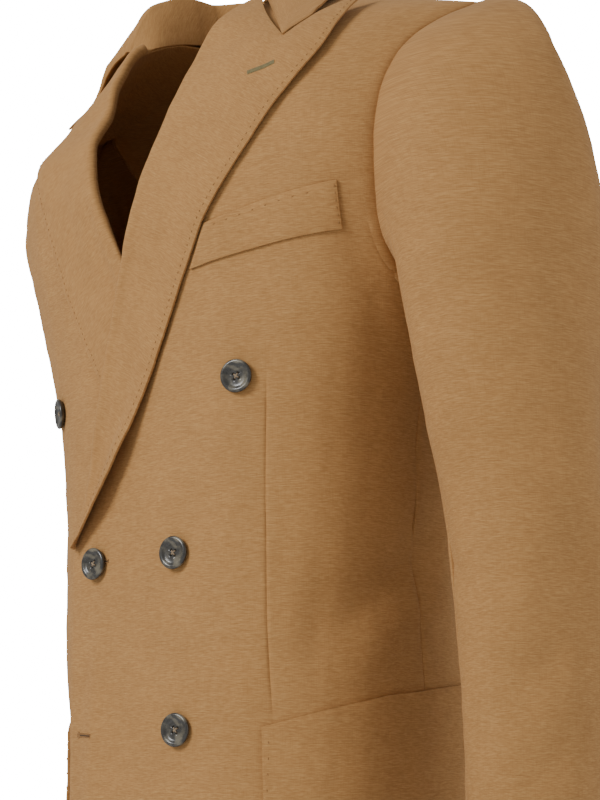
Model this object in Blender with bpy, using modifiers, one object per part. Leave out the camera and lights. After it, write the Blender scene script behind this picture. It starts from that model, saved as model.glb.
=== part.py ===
"""Double breasted blazer, worn shape with nobody in it.

Metres, +Z up, the front faces -Y and the wearer's left is +X. The origin is where the shoulders
and neck carry the coat: level with the neck end of the shoulder seams, midway between them.
Every cloth piece is an open sheet through its own middle surface, given its wall by Solidify.
"""
import math

import bmesh
import bpy
import numpy as np
from mathutils import Matrix, Vector

# --- cloth ---------------------------------------------------------------------------------
WALL = 0.0018            # thickness of every cloth wall
SEAM_GAP = 0.0003        # clear space between two pieces at a seam
BENT_GAP = 0.0020        # the same where the two pieces meet at an angle
LAY_GAP = 0.0008         # clear space under a piece that lies on a panel
LAYER = WALL + LAY_GAP   # from one middle surface to the next one that lies on it

# --- the figure that the coat is cut for ------------------------------------------------------
ROUNDNESS = 2.7          # exponent of the oval sections
NECK_SIDE = 0.080        # centre to the neck end of the shoulder seam
SHOULDER_SLOPE = 0.28    # drop of the shoulder seam for each metre outwards
SHOULDER_SET = 0.024     # shoulder seam behind the middle of the chest
FRONT_CAP = 0.125        # height over which the chest closes up to the shoulder seam
BACK_CAP = 0.15
FIGURE = (  # height, half_width, front_depth, back_depth
    (-0.760, 0.165, 0.115, 0.152),
    (-0.665, 0.164, 0.116, 0.149),
    (-0.565, 0.161, 0.118, 0.138),
    (-0.445, 0.162, 0.118, 0.118),
    (-0.325, 0.175, 0.120, 0.116),
    (-0.255, 0.202, 0.122, 0.126),
    (-0.165, 0.225, 0.133, 0.130),
    (-0.090, 0.227, 0.130, 0.122),
    (0.030, 0.225, 0.118, 0.110),
)

# --- body panels -----------------------------------------------------------------------------
HEM = -0.745
FRONT_EDGE = 0.073       # centre to the front edge, past the centre on both sides
BREAK_HEIGHT = -0.440    # where the lapel starts to roll
BACK_NECK_RISE = 0.003   # height of the neck seam at the centre back
FRONT_COLUMNS = 15
BACK_COLUMNS = 11
BACK_NECK_STEPS = 4
BACK_NECK_FADE = 4.0     # keeps the bend of the neck seam out of the blades
BODY_ROWS = 13           # hem to underarm
LOOP_POINTS = 26         # points round each armhole
LOOP_SIDE = 13           # loop point where the front's side seam ends
LOOP_BACK = 17           # loop point where the back's side seam ends
SIDE_COLUMNS = LOOP_BACK - LOOP_SIDE
ROLL_LINE = (  # height, distance from the centre towards the piece's own side
    (BREAK_HEIGHT, -0.0725),
    (-0.410, -0.0560),
    (-0.374, -0.0405),
    (-0.310, -0.0220),
    (-0.254, -0.0050),
    (-0.198, 0.0200),
    (-0.144, 0.0425),
    (-0.100, 0.0585),
    (-0.060, 0.0690),
    (0.000, 0.0770),
)
ARMHOLE = (  # turn, bearing in degrees from the centre front, height
    (0.125, 69.5, -0.078),
    (0.250, 65.0, -0.150),
    (0.375, 71.0, -0.226),
    (0.500, 93.0, -0.265),
    (0.625, 111.0, -0.230),
    (0.750, 117.5, -0.152),
    (0.875, 107.0, -0.078),
)
SIDE_SEAMS = (  # height, bearing of the front's side seam, bearing of the back's side seam
    (-0.760, 97.0, 131.0),
    (-0.540, 95.4, 130.0),
    (-0.440, 93.7, 128.0),
    (-0.340, 92.2, 121.0),
    (-0.240, 93.0, 112.5),
)

# --- how the left front lies over the right one -------------------------------------------------
OVERLAP_LIFT = 0.0056    # left front over the right front and its lapel
EDGE_STAND = 0.0030      # more at the free front edge
DRAPE_DEPTH = 0.0040     # soft hollow from the pocket towards the side
NECK_HOLLOW = 0.0085     # how far both fronts fall in beside the neck
RIGHT_HOLLOW = 0.0110    # how far the right front falls in below the shoulder
RIGHT_HIP_HOLLOW = 0.0050

# --- lapels ------------------------------------------------------------------------------------
ROLL_RADIUS = 0.0036     # soft fold of the lapel
FOLD_GAP = 0.0011        # clear space between the fold and the panel's edge
FLAT_RADIUS = 0.5 * LAYER
LAPEL_EASE = 0.0006      # more than the lying gap between a lapel and its front
LAPEL_ROWS = 20
LAPEL_COLUMNS = 9
LAPEL_NOTCH = 5          # column of the lapel at the corner of the gorge
FOLD_STEPS = 5
LAPEL_FOOT = -0.433      # lowest row of the lapel, just above the break
LAPEL_HEAD = -0.020      # where the roll line meets the gorge
GORGE_NOTCH = (0.1400, -0.0740)    # across, height
PEAK_TIP = (0.1690, -0.0400)
LEFT_LAPEL_EDGE = (  # height, distance from the centre
    (-0.440, -0.0700),
    (-0.411, -0.0350),
    (-0.382, -0.0090),
    (-0.353, 0.0090),
    (-0.301, 0.0370),
    (-0.239, 0.0710),
    (-0.184, 0.1100),
    (-0.156, 0.1340),
    (-0.131, 0.1530),
    (-0.110, 0.1655),
    (-0.090, 0.1735),
    (-0.068, 0.1740),
    (-0.040, 0.1690),
)
RIGHT_LAPEL_EDGE = (  # the same columns; the lapel underneath is drawn further across
    (-0.440, -0.0700),
    (-0.411, -0.0380),
    (-0.382, -0.0100),
    (-0.353, 0.0120),
    (-0.301, 0.0470),
    (-0.239, 0.0860),
    (-0.184, 0.1060),
    (-0.126, 0.1360),
    (-0.101, 0.1470),
    (-0.068, 0.1560),
    (-0.040, 0.1620),
)
LAPEL_LIFT = 0.0100      # most that the lower lapel edge stands off the front
EDGE_LIFT = 0.0014       # how far the rest of the left lapel's edge stands off
LEFT_PEAK_LIFT = 0.0035  # the same at the tip of the peak
RIGHT_PEAK_LIFT = 0.0004

# --- collar ------------------------------------------------------------------------------------
COLLAR_FRONT_STEPS = 6   # gorge to shoulder seam
COLLAR_BACK_STEPS = 7    # shoulder seam to the centre back
COLLAR_FALL_COLUMNS = 7
COLLAR_NOTCH = 5          # column of the fall at the corner of the gorge
RIGHT_COLLAR_LEAN = 0.022 # how far the right side of the crest stands further out
COLLAR_FOLD = 0.0030      # half width of the fold at the crest
COLLAR_SAG = 0.0015       # how much the fall hollows over the shoulder
COLLAR_CLEARANCE = 0.0068 # middle surface of the fall over the shoulder
COLLAR_CREST = (  # turn, how far inside the neck seam, how far above it
    (0.00, 0.0030, 0.0030),
    (0.08, 0.0034, 0.0210),
    (0.16, 0.0036, 0.0350),
    (0.28, 0.0040, 0.0410),
    (0.50, 0.0040, 0.0395),
    (1.00, 0.0040, 0.0390),
)
COLLAR_EDGE = (  # turn, across, distance behind the middle
    (0.00, 0.1480, -0.0740),
    (0.25, 0.1370, -0.0330),
    (0.50, 0.1220, 0.0160),
    (0.75, 0.0840, 0.0760),
    (1.00, 0.0000, 0.1000),
)

# --- sleeves -----------------------------------------------------------------------------------
CAP_ROWS = 7
ARM_ROWS = 10
TOP_SLEEVE = (-8, 9)     # loop points at the hind and the front sleeve seam
UNDER_SLEEVE = (9, LOOP_POINTS - 8)
LEFT_CAP_REACH = 0.225   # how squarely the sleeve head leaves the shoulder
RIGHT_CAP_REACH = 0.130
CAP_RISE = 0.012         # how much it stands up over the shoulder
CAP_UNDER = 0.030        # the same under the arm
CAP_FORWARD = 0.045      # how far the head bulges forward
CAP_FALL = 0.205         # how straight the head comes down into the arm
CAP_FALL_UNDER = 0.050
SLEEVE_START = 0.0010    # the sleeve's edge outside the armhole edge of the body, at the top
SLEEVE_START_UNDER = 0.0020
LEFT_ARM = (  # height, centre_x, centre_y, half_across, half_deep, rise of the outer side
    (-0.275, 0.2615, 0.0120, 0.0590, 0.0820, 0.030),
    (-0.360, 0.2630, 0.0130, 0.0545, 0.0665, 0.004),
    (-0.420, 0.2655, 0.0185, 0.0510, 0.0585, 0.000),
    (-0.470, 0.2680, 0.0225, 0.0490, 0.0590, 0.000),
    (-0.600, 0.2700, 0.0205, 0.0430, 0.0510, 0.000),
    (-0.665, 0.2700, 0.0165, 0.0405, 0.0475, 0.000),
)
RIGHT_ARM = (  # the same columns; the right arm is held further back
    (-0.275, 0.2460, 0.0700, 0.0540, 0.0680, 0.030),
    (-0.360, 0.2490, 0.0940, 0.0520, 0.0650, 0.004),
    (-0.420, 0.2510, 0.1050, 0.0510, 0.0610, 0.000),
    (-0.470, 0.2500, 0.1140, 0.0490, 0.0590, 0.000),
    (-0.600, 0.2480, 0.1200, 0.0430, 0.0510, 0.000),
    (-0.665, 0.2460, 0.1180, 0.0405, 0.0475, 0.000),
)

# --- pockets -----------------------------------------------------------------------------------
POCKET_TOP = (  # bearing, height of the mouth
    (42.0, -0.5700),
    (63.6, -0.5590),
    (82.5, -0.5500),
    (95.9, -0.5430),
    (118.0, -0.5370),
)
POCKET_FOOT = -0.722
POCKET_CORNER = 0.030    # radius of the two lower corners
POCKET_WIDTH = 0.185
POCKET_COLUMNS = 12
POCKET_ROWS = 8
WELT_COLUMNS = 8
WELT_ROWS = 3
WELT_TOP = ((0.0930, -0.2075), (0.1900, -0.1885))      # front end, side end: across, height
WELT_FOOT = ((0.0745, -0.2385), (0.1870, -0.2225))

# --- buttons -----------------------------------------------------------------------------------
BUTTON_RADIUS = 0.0121
BUTTON_DEPTH = 0.0040
BUTTON_HOLE_RADIUS = 0.0010
BUTTON_HOLE_SPREAD = 0.0023
BUTTON_SIDES = 18
BUTTON_SEAT = 0.0004     # clear space between a button's back and the cloth
SEAT_STEPS = 9           # places tried across each cell of the cloth under a button
BUTTONS = (  # name, across, height, front that it lies on, lean to the wearer's left in degrees
    ("button_left_top", 0.1075, -0.3210, "left", 8.0),
    ("button_left_middle", 0.0525, -0.4450, "left", 9.0),
    ("button_left_lower", 0.0560, -0.5715, "left", 9.0),
    ("button_right_top", -0.1180, -0.3200, "right", 0.0),
    ("button_right_middle", -0.0390, -0.4470, "left", 11.0),
)

CLOTH_COLOUR = (0.440, 0.245, 0.120, 1.0)
HORN_COLOUR = (0.050, 0.047, 0.042, 1.0)


# ================================ small mathematics =============================================
def smooth(value):
    """Ease from 0 to 1 with level ends."""
    t = np.clip(value, 0.0, 1.0)
    return t * t * (3.0 - 2.0 * t)


def through(table, key):
    """Smooth curve through the rows of a table, read at the values of its first column."""
    rows = np.array(sorted(table), float)
    knots, values = rows[:, 0], rows[:, 1:]
    spans = np.diff(knots)[:, None]
    slopes = np.diff(values, axis=0) / spans
    tangents = np.vstack([slopes[:1], slopes[-1:]]).repeat([1, 1], axis=0)
    inner = (slopes[:-1] * spans[1:] + slopes[1:] * spans[:-1]) / (spans[1:] + spans[:-1])
    tangents = np.vstack([tangents[:1], inner, tangents[1:]])
    key = np.clip(np.asarray(key, float), knots[0], knots[-1])
    cell = np.clip(np.searchsorted(knots, key) - 1, 0, len(knots) - 2)
    span = (knots[cell + 1] - knots[cell])[..., None]
    t = (key - knots[cell])[..., None] / span
    return ((2 * t**3 - 3 * t**2 + 1) * values[cell] + (t**3 - 2 * t**2 + t) * span * tangents[cell]
            + (3 * t**2 - 2 * t**3) * values[cell + 1] + (t**3 - t**2) * span * tangents[cell + 1])


def unit(vectors):
    return vectors / np.linalg.norm(vectors, axis=-1, keepdims=True)


# ================================ the figure ====================================================
def ridge(across):
    """Height of the shoulder seam line at a distance from the centre."""
    return -SHOULDER_SLOPE * (np.abs(across) - NECK_SIDE)


def figure(bearing, height):
    """Point of the figure at a bearing in degrees from the centre front and a height."""
    bearing, height = np.broadcast_arrays(np.asarray(bearing, float), np.asarray(height, float))
    half_width, front, back = np.moveaxis(through(FIGURE, height), -1, 0)
    turn = np.radians(bearing)
    power = 2.0 / ROUNDNESS
    across = half_width * np.sign(np.sin(turn)) * np.abs(np.sin(turn)) ** power
    in_front = np.cos(turn) > 0
    depth = np.where(in_front, -front, back) * np.abs(np.cos(turn)) ** power
    cap = np.where(in_front, FRONT_CAP, BACK_CAP)
    closing = np.clip((ridge(across) - height) / cap, 0.0, 1.0)
    opened = np.sqrt(1.0 - (1.0 - closing) ** 2)
    return np.stack([across, SHOULDER_SET * (1.0 - opened) + depth * opened, height], axis=-1)


def figure_normal(bearing, height):
    """Outward direction of the figure."""
    step, rise = 0.3, 0.001
    around = figure(bearing + step, height) - figure(bearing - step, height)
    up = figure(bearing, height + rise) - figure(bearing, height - rise)
    return unit(np.cross(around, up))


def bearing_at(across, height):
    """Bearing of the front point at a distance from the centre."""
    half_width = through(FIGURE, height)[..., 0]
    share = np.clip(np.abs(across) / half_width, 0.0, 1.0)
    return np.degrees(np.sign(across) * np.arcsin(share ** (ROUNDNESS / 2.0)))


def depth_below_ridge(bearing, height):
    """Distance down the cloth from the shoulder seam, measured round the cap."""
    point = figure(bearing, height)
    cap = np.where(np.cos(np.radians(bearing)) > 0, FRONT_CAP, BACK_CAP)
    drop = ridge(point[..., 0]) - height
    round_part = cap * np.arccos(np.clip(1.0 - drop / cap, 0.0, 1.0))
    return np.where(drop < cap, round_part, cap * math.pi / 2 + drop - cap)


def height_at_depth(bearing, depth):
    """Height of a point that lies a distance down the cloth from the shoulder seam."""
    cap = np.where(np.cos(np.radians(bearing)) > 0, FRONT_CAP, BACK_CAP)
    quarter = cap * math.pi / 2
    drop = np.where(depth < quarter, cap * (1.0 - np.cos(np.minimum(depth / cap, math.pi / 2))),
                    cap + depth - quarter)
    height = -drop
    for _ in range(4):
        half_width = through(FIGURE, height)[..., 0]
        across = half_width * np.abs(np.sin(np.radians(bearing))) ** (2.0 / ROUNDNESS)
        height = ridge(across) - drop
    return height


# ================================ sheets and objects =============================================
def material(name, colour, roughness):
    finish = bpy.data.materials.new(name)
    finish.use_nodes = True
    shader = finish.node_tree.nodes["Principled BSDF"]
    shader.inputs["Base Color"].default_value = colour
    shader.inputs["Roughness"].default_value = roughness
    shader.inputs["Metallic"].default_value = 0.0
    finish.diffuse_color = colour
    return finish


def add_object(name, mesh, collection, colour, roughness):
    mesh.materials.append(material(name + "_finish", colour, roughness))
    piece = bpy.data.objects.new(name, mesh)
    collection.objects.link(piece)
    return piece


def cloth_sheet(name, grid, collection):
    """Open sheet through a grid of middle points, with the cloth wall built half to each side."""
    rows, columns = grid.shape[:2]
    work = bmesh.new()
    corners = [[work.verts.new(point) for point in row] for row in grid.tolist()]
    for r in range(rows - 1):
        for c in range(columns - 1):
            work.faces.new((corners[r][c], corners[r][c + 1], corners[r + 1][c + 1], corners[r + 1][c]))
    bmesh.ops.recalc_face_normals(work, faces=work.faces)
    mesh = bpy.data.meshes.new(name)
    work.to_mesh(mesh)
    work.free()
    mesh.shade_smooth()
    piece = add_object(name, mesh, collection, CLOTH_COLOUR, 0.9)
    wall = piece.modifiers.new("wall", "SOLIDIFY")
    wall.thickness = WALL
    wall.offset = 0.0
    return piece


def other_side(grid):
    """The same grid on the wearer's other side."""
    return grid * np.array([-1.0, 1.0, 1.0])


def inset(grid, sides, gap=SEAM_GAP):
    """Draw the named outer rows or columns of a grid in by half a gap."""
    grid = grid.copy()
    lines = {"first_row": (grid[0], grid[1]), "last_row": (grid[-1], grid[-2]),
             "first_column": (grid[:, 0], grid[:, 1]), "last_column": (grid[:, -1], grid[:, -2])}
    for side in sides:
        edge, neighbour = lines[side]
        edge += unit(neighbour - edge) * gap / 2
    return grid


def patch(bottom, top, left, right, fade=1.0):
    """Fill a four sided outline given in bearing and depth (each line is points by two).

    A fade over 1 keeps the bends of the top line near the top.
    """
    u = np.linspace(0, 1, len(bottom))[None, :, None]
    v = np.linspace(0, 1, len(left))[:, None, None]
    bottom_bend = bottom[None] - (1 - u) * bottom[0] - u * bottom[-1]
    top_bend = top[None] - (1 - u) * top[0] - u * top[-1]
    return (1 - u) * left[:, None] + u * right[:, None] + (1 - v) * bottom_bend + v**fade * top_bend


def flat_outline(bearing, height):
    return np.stack([bearing, depth_below_ridge(bearing, height)], axis=-1)


# ================================ outlines that pieces share =====================================
def armhole_loop():
    """Bearing and height of the points round the left armhole, from the shoulder down the front."""
    shoulder_across = through(FIGURE, ridge(FIGURE[-2][1]))[..., 0]
    shoulder = (90.0, float(ridge(shoulder_across)))
    table = ((0.0, *shoulder),) + ARMHOLE + ((1.0, *shoulder),)
    return through(table, np.arange(LOOP_POINTS + 1) / LOOP_POINTS)


def side_seam(column, top_height):
    """Bearing and height up one of the side seams (column 0 on the front, 1 on the back)."""
    heights = np.linspace(HEM, top_height, BODY_ROWS + 1)
    return np.stack([through(SIDE_SEAMS, heights)[:, column], heights], axis=-1)


def back_neck(share):
    """Bearing and depth of the back neck seam, from the shoulder seam (0) to the centre back (1)."""
    side_bearing = 180.0 - bearing_at(NECK_SIDE, ridge(NECK_SIDE))
    middle_depth = depth_below_ridge(180.0, BACK_NECK_RISE)
    bearing = side_bearing + np.asarray(share) * (180.0 - side_bearing)
    return np.stack([bearing, middle_depth * np.asarray(share) ** 0.7], axis=-1)


def front_inner_heights():
    """Heights of the front panel's rows at its inner edge."""
    below = np.linspace(HEM, ARMHOLE[3][2], BODY_ROWS + 1)
    above = np.linspace(ARMHOLE[3][2], 0.0, LOOP_SIDE + 1)[1:]
    return np.concatenate([below, above])


def roll_across(height):
    """Distance from the centre to the roll line, or to the front edge under the break."""
    rolled = through(ROLL_LINE, height)[..., 0]
    return np.where(height < BREAK_HEIGHT, -FRONT_EDGE, rolled)


def drape(bearing, height):
    """Soft slanting hollow that runs from over the hip pocket up to the side."""
    along = (bearing - 50.0) / 45.0
    line = -0.505 + 0.055 * along
    across_fold = np.exp(-((height - line) / 0.034) ** 2)
    return -DRAPE_DEPTH * across_fold * smooth(along / 0.3) * smooth((1.35 - along) / 0.35)


def neck_hollow(across, height):
    """Both fronts fall in beside the neck, most along the roll line."""
    return -NECK_HOLLOW * (smooth((0.125 - across) / 0.060) * smooth((-0.046 - height) / 0.030)
                           * smooth((height + 0.165) / 0.070))


def left_lift(across, height):
    """How far the left front stands off the figure, over the right front and its lapel."""
    over = smooth((0.135 - across) / 0.045) * smooth((-0.145 - height) / 0.065)
    edge = smooth((0.035 - across) / 0.110) * smooth((-0.370 - height) / 0.060)
    return OVERLAP_LIFT * over + EDGE_STAND * edge + neck_hollow(across, height)


def right_lift(across, height):
    """The right front lies on the figure, and further in below the shoulder and over the hip."""
    shoulder = (smooth((-0.020 - height) / 0.030) * smooth((height + 0.125) / 0.045)
                * smooth((0.204 - across) / 0.038))
    hip = (smooth((across - 0.050) / 0.050) * smooth((0.158 - across) / 0.030)
           * smooth((-0.500 - height) / 0.080))
    return neck_hollow(across, height) - RIGHT_HOLLOW * shoulder - RIGHT_HIP_HOLLOW * hip


def chest_point(across, height, offset):
    """Point over the front of the figure, moved out by an offset."""
    bearing = bearing_at(across, height)
    return figure(bearing, height) + np.asarray(offset)[..., None] * figure_normal(bearing, height)


# ================================ body panels ====================================================
def front_grid(lift):
    """Middle surface of the left front; the right one is the same cut with another lift."""
    loop = armhole_loop()
    inner_height = front_inner_heights()
    inner_height[-1] = ridge(NECK_SIDE)
    inner_across = roll_across(inner_height)
    inner_across[-1] = NECK_SIDE
    left = flat_outline(bearing_at(inner_across, inner_height), inner_height)
    left[-1, 1] = 0.0
    seam = side_seam(0, ARMHOLE[3][2])
    right = np.vstack([seam[:-1], loop[LOOP_SIDE::-1]])
    right = flat_outline(right[:, 0], right[:, 1])
    right[-1] = (90.0, 0.0)
    columns = FRONT_COLUMNS + 1
    share = np.linspace(0, 1, columns)
    hem_bearing = left[0, 0] + share * (right[0, 0] - left[0, 0])
    bottom = flat_outline(hem_bearing, np.full(columns, HEM))
    top = left[-1] + share[:, None] * (right[-1] - left[-1])
    plan = patch(bottom, top, left, right)
    bearing, depth = plan[..., 0], np.maximum(plan[..., 1], 0.0)
    height = height_at_depth(bearing, depth)
    height[0] = HEM
    across = figure(bearing, height)[..., 0]
    offset = lift(across, height) + drape(bearing, height)
    grid = figure(bearing, height)
    inside = offset != 0.0
    moved = offset[..., None] * figure_normal(bearing, np.minimum(height, -0.06))
    grid[inside] += moved[inside]
    return inset(inset(grid, ("first_column", "last_column")), ("last_row",), BENT_GAP)


def side_grid():
    loop = armhole_loop()
    front = side_seam(0, ARMHOLE[3][2])
    back = side_seam(1, loop[LOOP_BACK, 1])
    front[-1], back[-1] = loop[LOOP_SIDE], loop[LOOP_BACK]
    share = np.linspace(0, 1, SIDE_COLUMNS + 1)
    bottom = front[0] + share[:, None] * (back[0] - front[0])
    top = loop[LOOP_SIDE:LOOP_BACK + 1]
    plan = patch(bottom, top, front, back)
    bearing, height = plan[..., 0], plan[..., 1]
    grid = figure(bearing, height)
    grid += drape(bearing, height)[..., None] * figure_normal(bearing, height)
    return inset(grid, ("first_column", "last_column", "last_row"))


def back_grid():
    loop = armhole_loop()
    seam = side_seam(1, loop[LOOP_BACK, 1])
    seam[-1] = loop[LOOP_BACK]
    side = np.vstack([seam[:-1], loop[LOOP_BACK:]])
    side = flat_outline(side[:, 0], side[:, 1])
    side[-1] = (90.0, 0.0)
    rows = len(side)
    share = np.linspace(0, 1, BACK_COLUMNS + 1)
    middle_height = np.linspace(HEM, BACK_NECK_RISE, rows)
    middle = flat_outline(np.full(rows, 180.0), middle_height)
    bottom_bearing = 180.0 + share * (side[0, 0] - 180.0)
    bottom = flat_outline(bottom_bearing, np.full(BACK_COLUMNS + 1, HEM))
    shoulder_steps = BACK_COLUMNS - BACK_NECK_STEPS
    neck = back_neck(np.linspace(1, 0, BACK_NECK_STEPS + 1))
    shoulder_bearing = neck[-1, 0] + np.linspace(0, 1, shoulder_steps + 1)[1:] * (90.0 - neck[-1, 0])
    shoulder = np.stack([shoulder_bearing, np.zeros(shoulder_steps)], axis=-1)
    top = np.vstack([neck, shoulder])
    plan = patch(bottom, top, middle, side, BACK_NECK_FADE)
    bearing, depth = plan[..., 0], np.maximum(plan[..., 1], 0.0)
    height = height_at_depth(bearing, depth)
    height[0] = HEM
    grid = inset(figure(bearing, height), ("last_column",))
    return inset(grid, ("first_column", "last_row"), BENT_GAP)


# ================================ lapels =========================================================
def lapel_grid(lift, outline, roll_radius, edge_lift, peak_lift):
    """Lapel from its foot to the gorge: round the fold, then out over the front."""
    rise = np.linspace(0, 1, LAPEL_ROWS + 1)
    roll_height = LAPEL_FOOT + rise * (LAPEL_HEAD - LAPEL_FOOT)
    roll = np.stack([roll_across(roll_height), roll_height], axis=-1)
    edge_height = LAPEL_FOOT + rise * (PEAK_TIP[1] - LAPEL_FOOT)
    edge = np.stack([through(outline, edge_height)[:, 0], edge_height], axis=-1)
    share = np.linspace(0, 1, LAPEL_COLUMNS + 1)
    notch, peak = np.array(GORGE_NOTCH), np.array(PEAK_TIP)
    to_notch = np.linspace(0, 1, LAPEL_NOTCH + 1)[:, None]
    to_peak = np.linspace(0, 1, LAPEL_COLUMNS - LAPEL_NOTCH + 1)[1:, None]
    gorge = np.vstack([roll[-1] + to_notch * (notch - roll[-1]), notch + to_peak * (peak - notch)])
    rows = []
    for r, t in enumerate(rise):
        straight = roll[r] + share[:, None] * (edge[r] - roll[r])
        bend = float(smooth((t - 0.62) / 0.38)) ** 2
        head = gorge - gorge[0] - share[:, None] * (gorge[-1] - gorge[0])
        flat = straight + bend * head
        radius = roll_radius(roll_height[r])
        flat_near = LAYER + LAPEL_EASE * smooth(share * 3.0)
        near = flat_near + (2.0 * radius - LAYER) * (1.0 - smooth(share * 1.6))
        stand = edge_lift(t) + peak_lift * float(smooth((t - 0.72) / 0.28))
        offset = lift(flat[:, 0], flat[:, 1]) + near + stand * smooth(share) ** 2
        over = chest_point(flat[:, 0], flat[:, 1], offset)
        seam = chest_point(roll[r, 0], roll[r, 1], lift(roll[r, 0], roll[r, 1]))
        normal = unit(over[0] - seam)
        along = unit(chest_point(roll[r, 0] + 0.001, roll[r, 1], 0.0)
                     - chest_point(roll[r, 0] - 0.001, roll[r, 1], 0.0))
        outward = -unit(along - normal * (along @ normal))
        turns = np.linspace(-math.pi / 2, math.pi / 2, FOLD_STEPS + 1)[:-1]
        fold = [seam + normal * (radius + radius * math.sin(a))
                + outward * (FOLD_GAP + radius * math.cos(a)) for a in turns]
        rows.append(np.vstack([np.array(fold), over]))
    return inset(np.array(rows), ("last_row",))


def left_roll_radius(height):
    return ROLL_RADIUS * (0.45 + 0.55 * float(smooth((height + 0.42) / 0.08)))


def right_roll_radius(height):
    """Full fold where it is free, pressed flat under the left front."""
    return FLAT_RADIUS + (ROLL_RADIUS - FLAT_RADIUS) * float(smooth((height + 0.215) / 0.05))


def left_edge_lift(t):
    return EDGE_LIFT + LAPEL_LIFT * math.exp(-((t - 0.12) / 0.12) ** 2)


def right_edge_lift(t):
    return 0.0


# ================================ collar =========================================================
def cap_height(across, behind):
    """Height of the figure's shoulder over a place in plan."""
    height = ridge(across)
    for _ in range(5):
        half_width, front, back = np.moveaxis(through(FIGURE, height), -1, 0)
        share = np.clip(np.abs(across) / half_width, 0.0, 0.999)
        narrowing = (1.0 - share ** ROUNDNESS) ** (1.0 / ROUNDNESS)
        in_front = behind < SHOULDER_SET
        reach = np.where(in_front, -front, back) * narrowing - SHOULDER_SET
        opened = np.clip((behind - SHOULDER_SET) / reach, 0.0, 0.98)
        cap = np.where(in_front, FRONT_CAP, BACK_CAP)
        height = ridge(across) - cap * (1.0 - np.sqrt(1.0 - opened**2))
    return height


def neck_seam():
    """Points of the neck seam on the panels' edges, from the gorge to the centre back."""
    front_height = np.linspace(LAPEL_HEAD, ridge(NECK_SIDE), COLLAR_FRONT_STEPS + 1)
    front_across = roll_across(front_height)
    front_across[-1] = NECK_SIDE
    front = figure(bearing_at(front_across, front_height), front_height)
    back = back_neck(np.linspace(0, 1, COLLAR_BACK_STEPS + 1)[1:])
    back = figure(back[:, 0], height_at_depth(back[:, 0], back[:, 1]))
    return np.vstack([front, back])


def collar_half(lean):
    """Stand, crest and fall of the left half, from the gorge to the centre back."""
    seam = neck_seam()
    turn = np.linspace(0, 1, len(seam))
    inward = unit(-seam * np.array([1.0, 1.0, 0.0]) + np.array([0.0, 0.010, 0.0]))
    seam = seam + inward * (0.5 * WALL + SEAM_GAP) + np.array([0.0, 0.0, 0.5 * WALL + SEAM_GAP])
    crest_shape = through(COLLAR_CREST, turn)
    crest = seam + inward * crest_shape[:, :1] + np.array([0.0, 0.0, 1.0]) * crest_shape[:, 1:]
    plan = through(COLLAR_EDGE, turn)
    edge_height = cap_height(plan[:, 0], plan[:, 1]) + COLLAR_CLEARANCE
    edge = np.column_stack([plan, edge_height])
    share = np.linspace(0, 1, COLLAR_FALL_COLUMNS + 1)[:, None]
    notch = chest_point(np.array(GORGE_NOTCH[0]), GORGE_NOTCH[1], np.array(COLLAR_CLEARANCE))
    half = []
    for k, t in enumerate(turn):
        outward = unit((edge[k] - crest[k]) * np.array([1.0, 1.0, 0.0]))
        top = crest[k] + outward * COLLAR_FOLD + np.array([0.0, 0.0, 0.6 * COLLAR_FOLD])
        over = crest[k] + outward * 2.0 * COLLAR_FOLD
        out = outward * lean * (1.0 - smooth(t / 0.85))
        stand = [seam[k] + (crest[k] - seam[k]) * s for s in (0.0, 0.5, 1.0)]
        fall = over + share * (edge[k] - over)
        fall[:, 2] -= (COLLAR_SAG * np.sin(math.pi * share) * smooth(t / 0.4))[:, 0]
        bend = float(1.0 - smooth(t / 0.22)) ** 2
        corner = COLLAR_NOTCH / COLLAR_FALL_COLUMNS
        kink = np.interp(share[:, 0], [0, corner, 1], [0, 1, 0])
        straight = over + corner * (edge[k] - over)
        fall += bend * kink[:, None] * (notch - straight)
        stand = [stand[0], stand[1] + 0.5 * out, stand[2] + out]
        fall += (1.0 - smooth(share / corner)) * out
        half.append(np.array(stand + [top + out] + list(fall)))
    return np.array(half)


def collar_grid():
    """The whole collar; its right half follows the right front."""
    right = collar_half(RIGHT_COLLAR_LEAN)
    in_front = smooth((SHOULDER_SET - right[..., 1]) / 0.030)
    sunk = right_lift(right[..., 0], right[..., 2]) * in_front
    bearing = bearing_at(right[..., 0], np.minimum(right[..., 2], -0.030))
    right += sunk[..., None] * figure_normal(bearing, np.minimum(right[..., 2], -0.030))
    whole = np.concatenate([collar_half(0.0), other_side(right[:-1])[::-1]])
    return inset(whole, ("first_row", "last_row"), 4.0 * SEAM_GAP)


# ================================ sleeves ========================================================
def sleeve_ring(row, turns):
    """One ring of the left sleeve from a row of the arm table."""
    height, centre_x, centre_y, half_across, half_deep, rise = row
    angle = 2 * math.pi * turns
    return np.stack([centre_x + half_across * np.cos(angle), centre_y - half_deep * np.sin(angle),
                     height + rise * np.cos(angle)], axis=-1)


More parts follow.
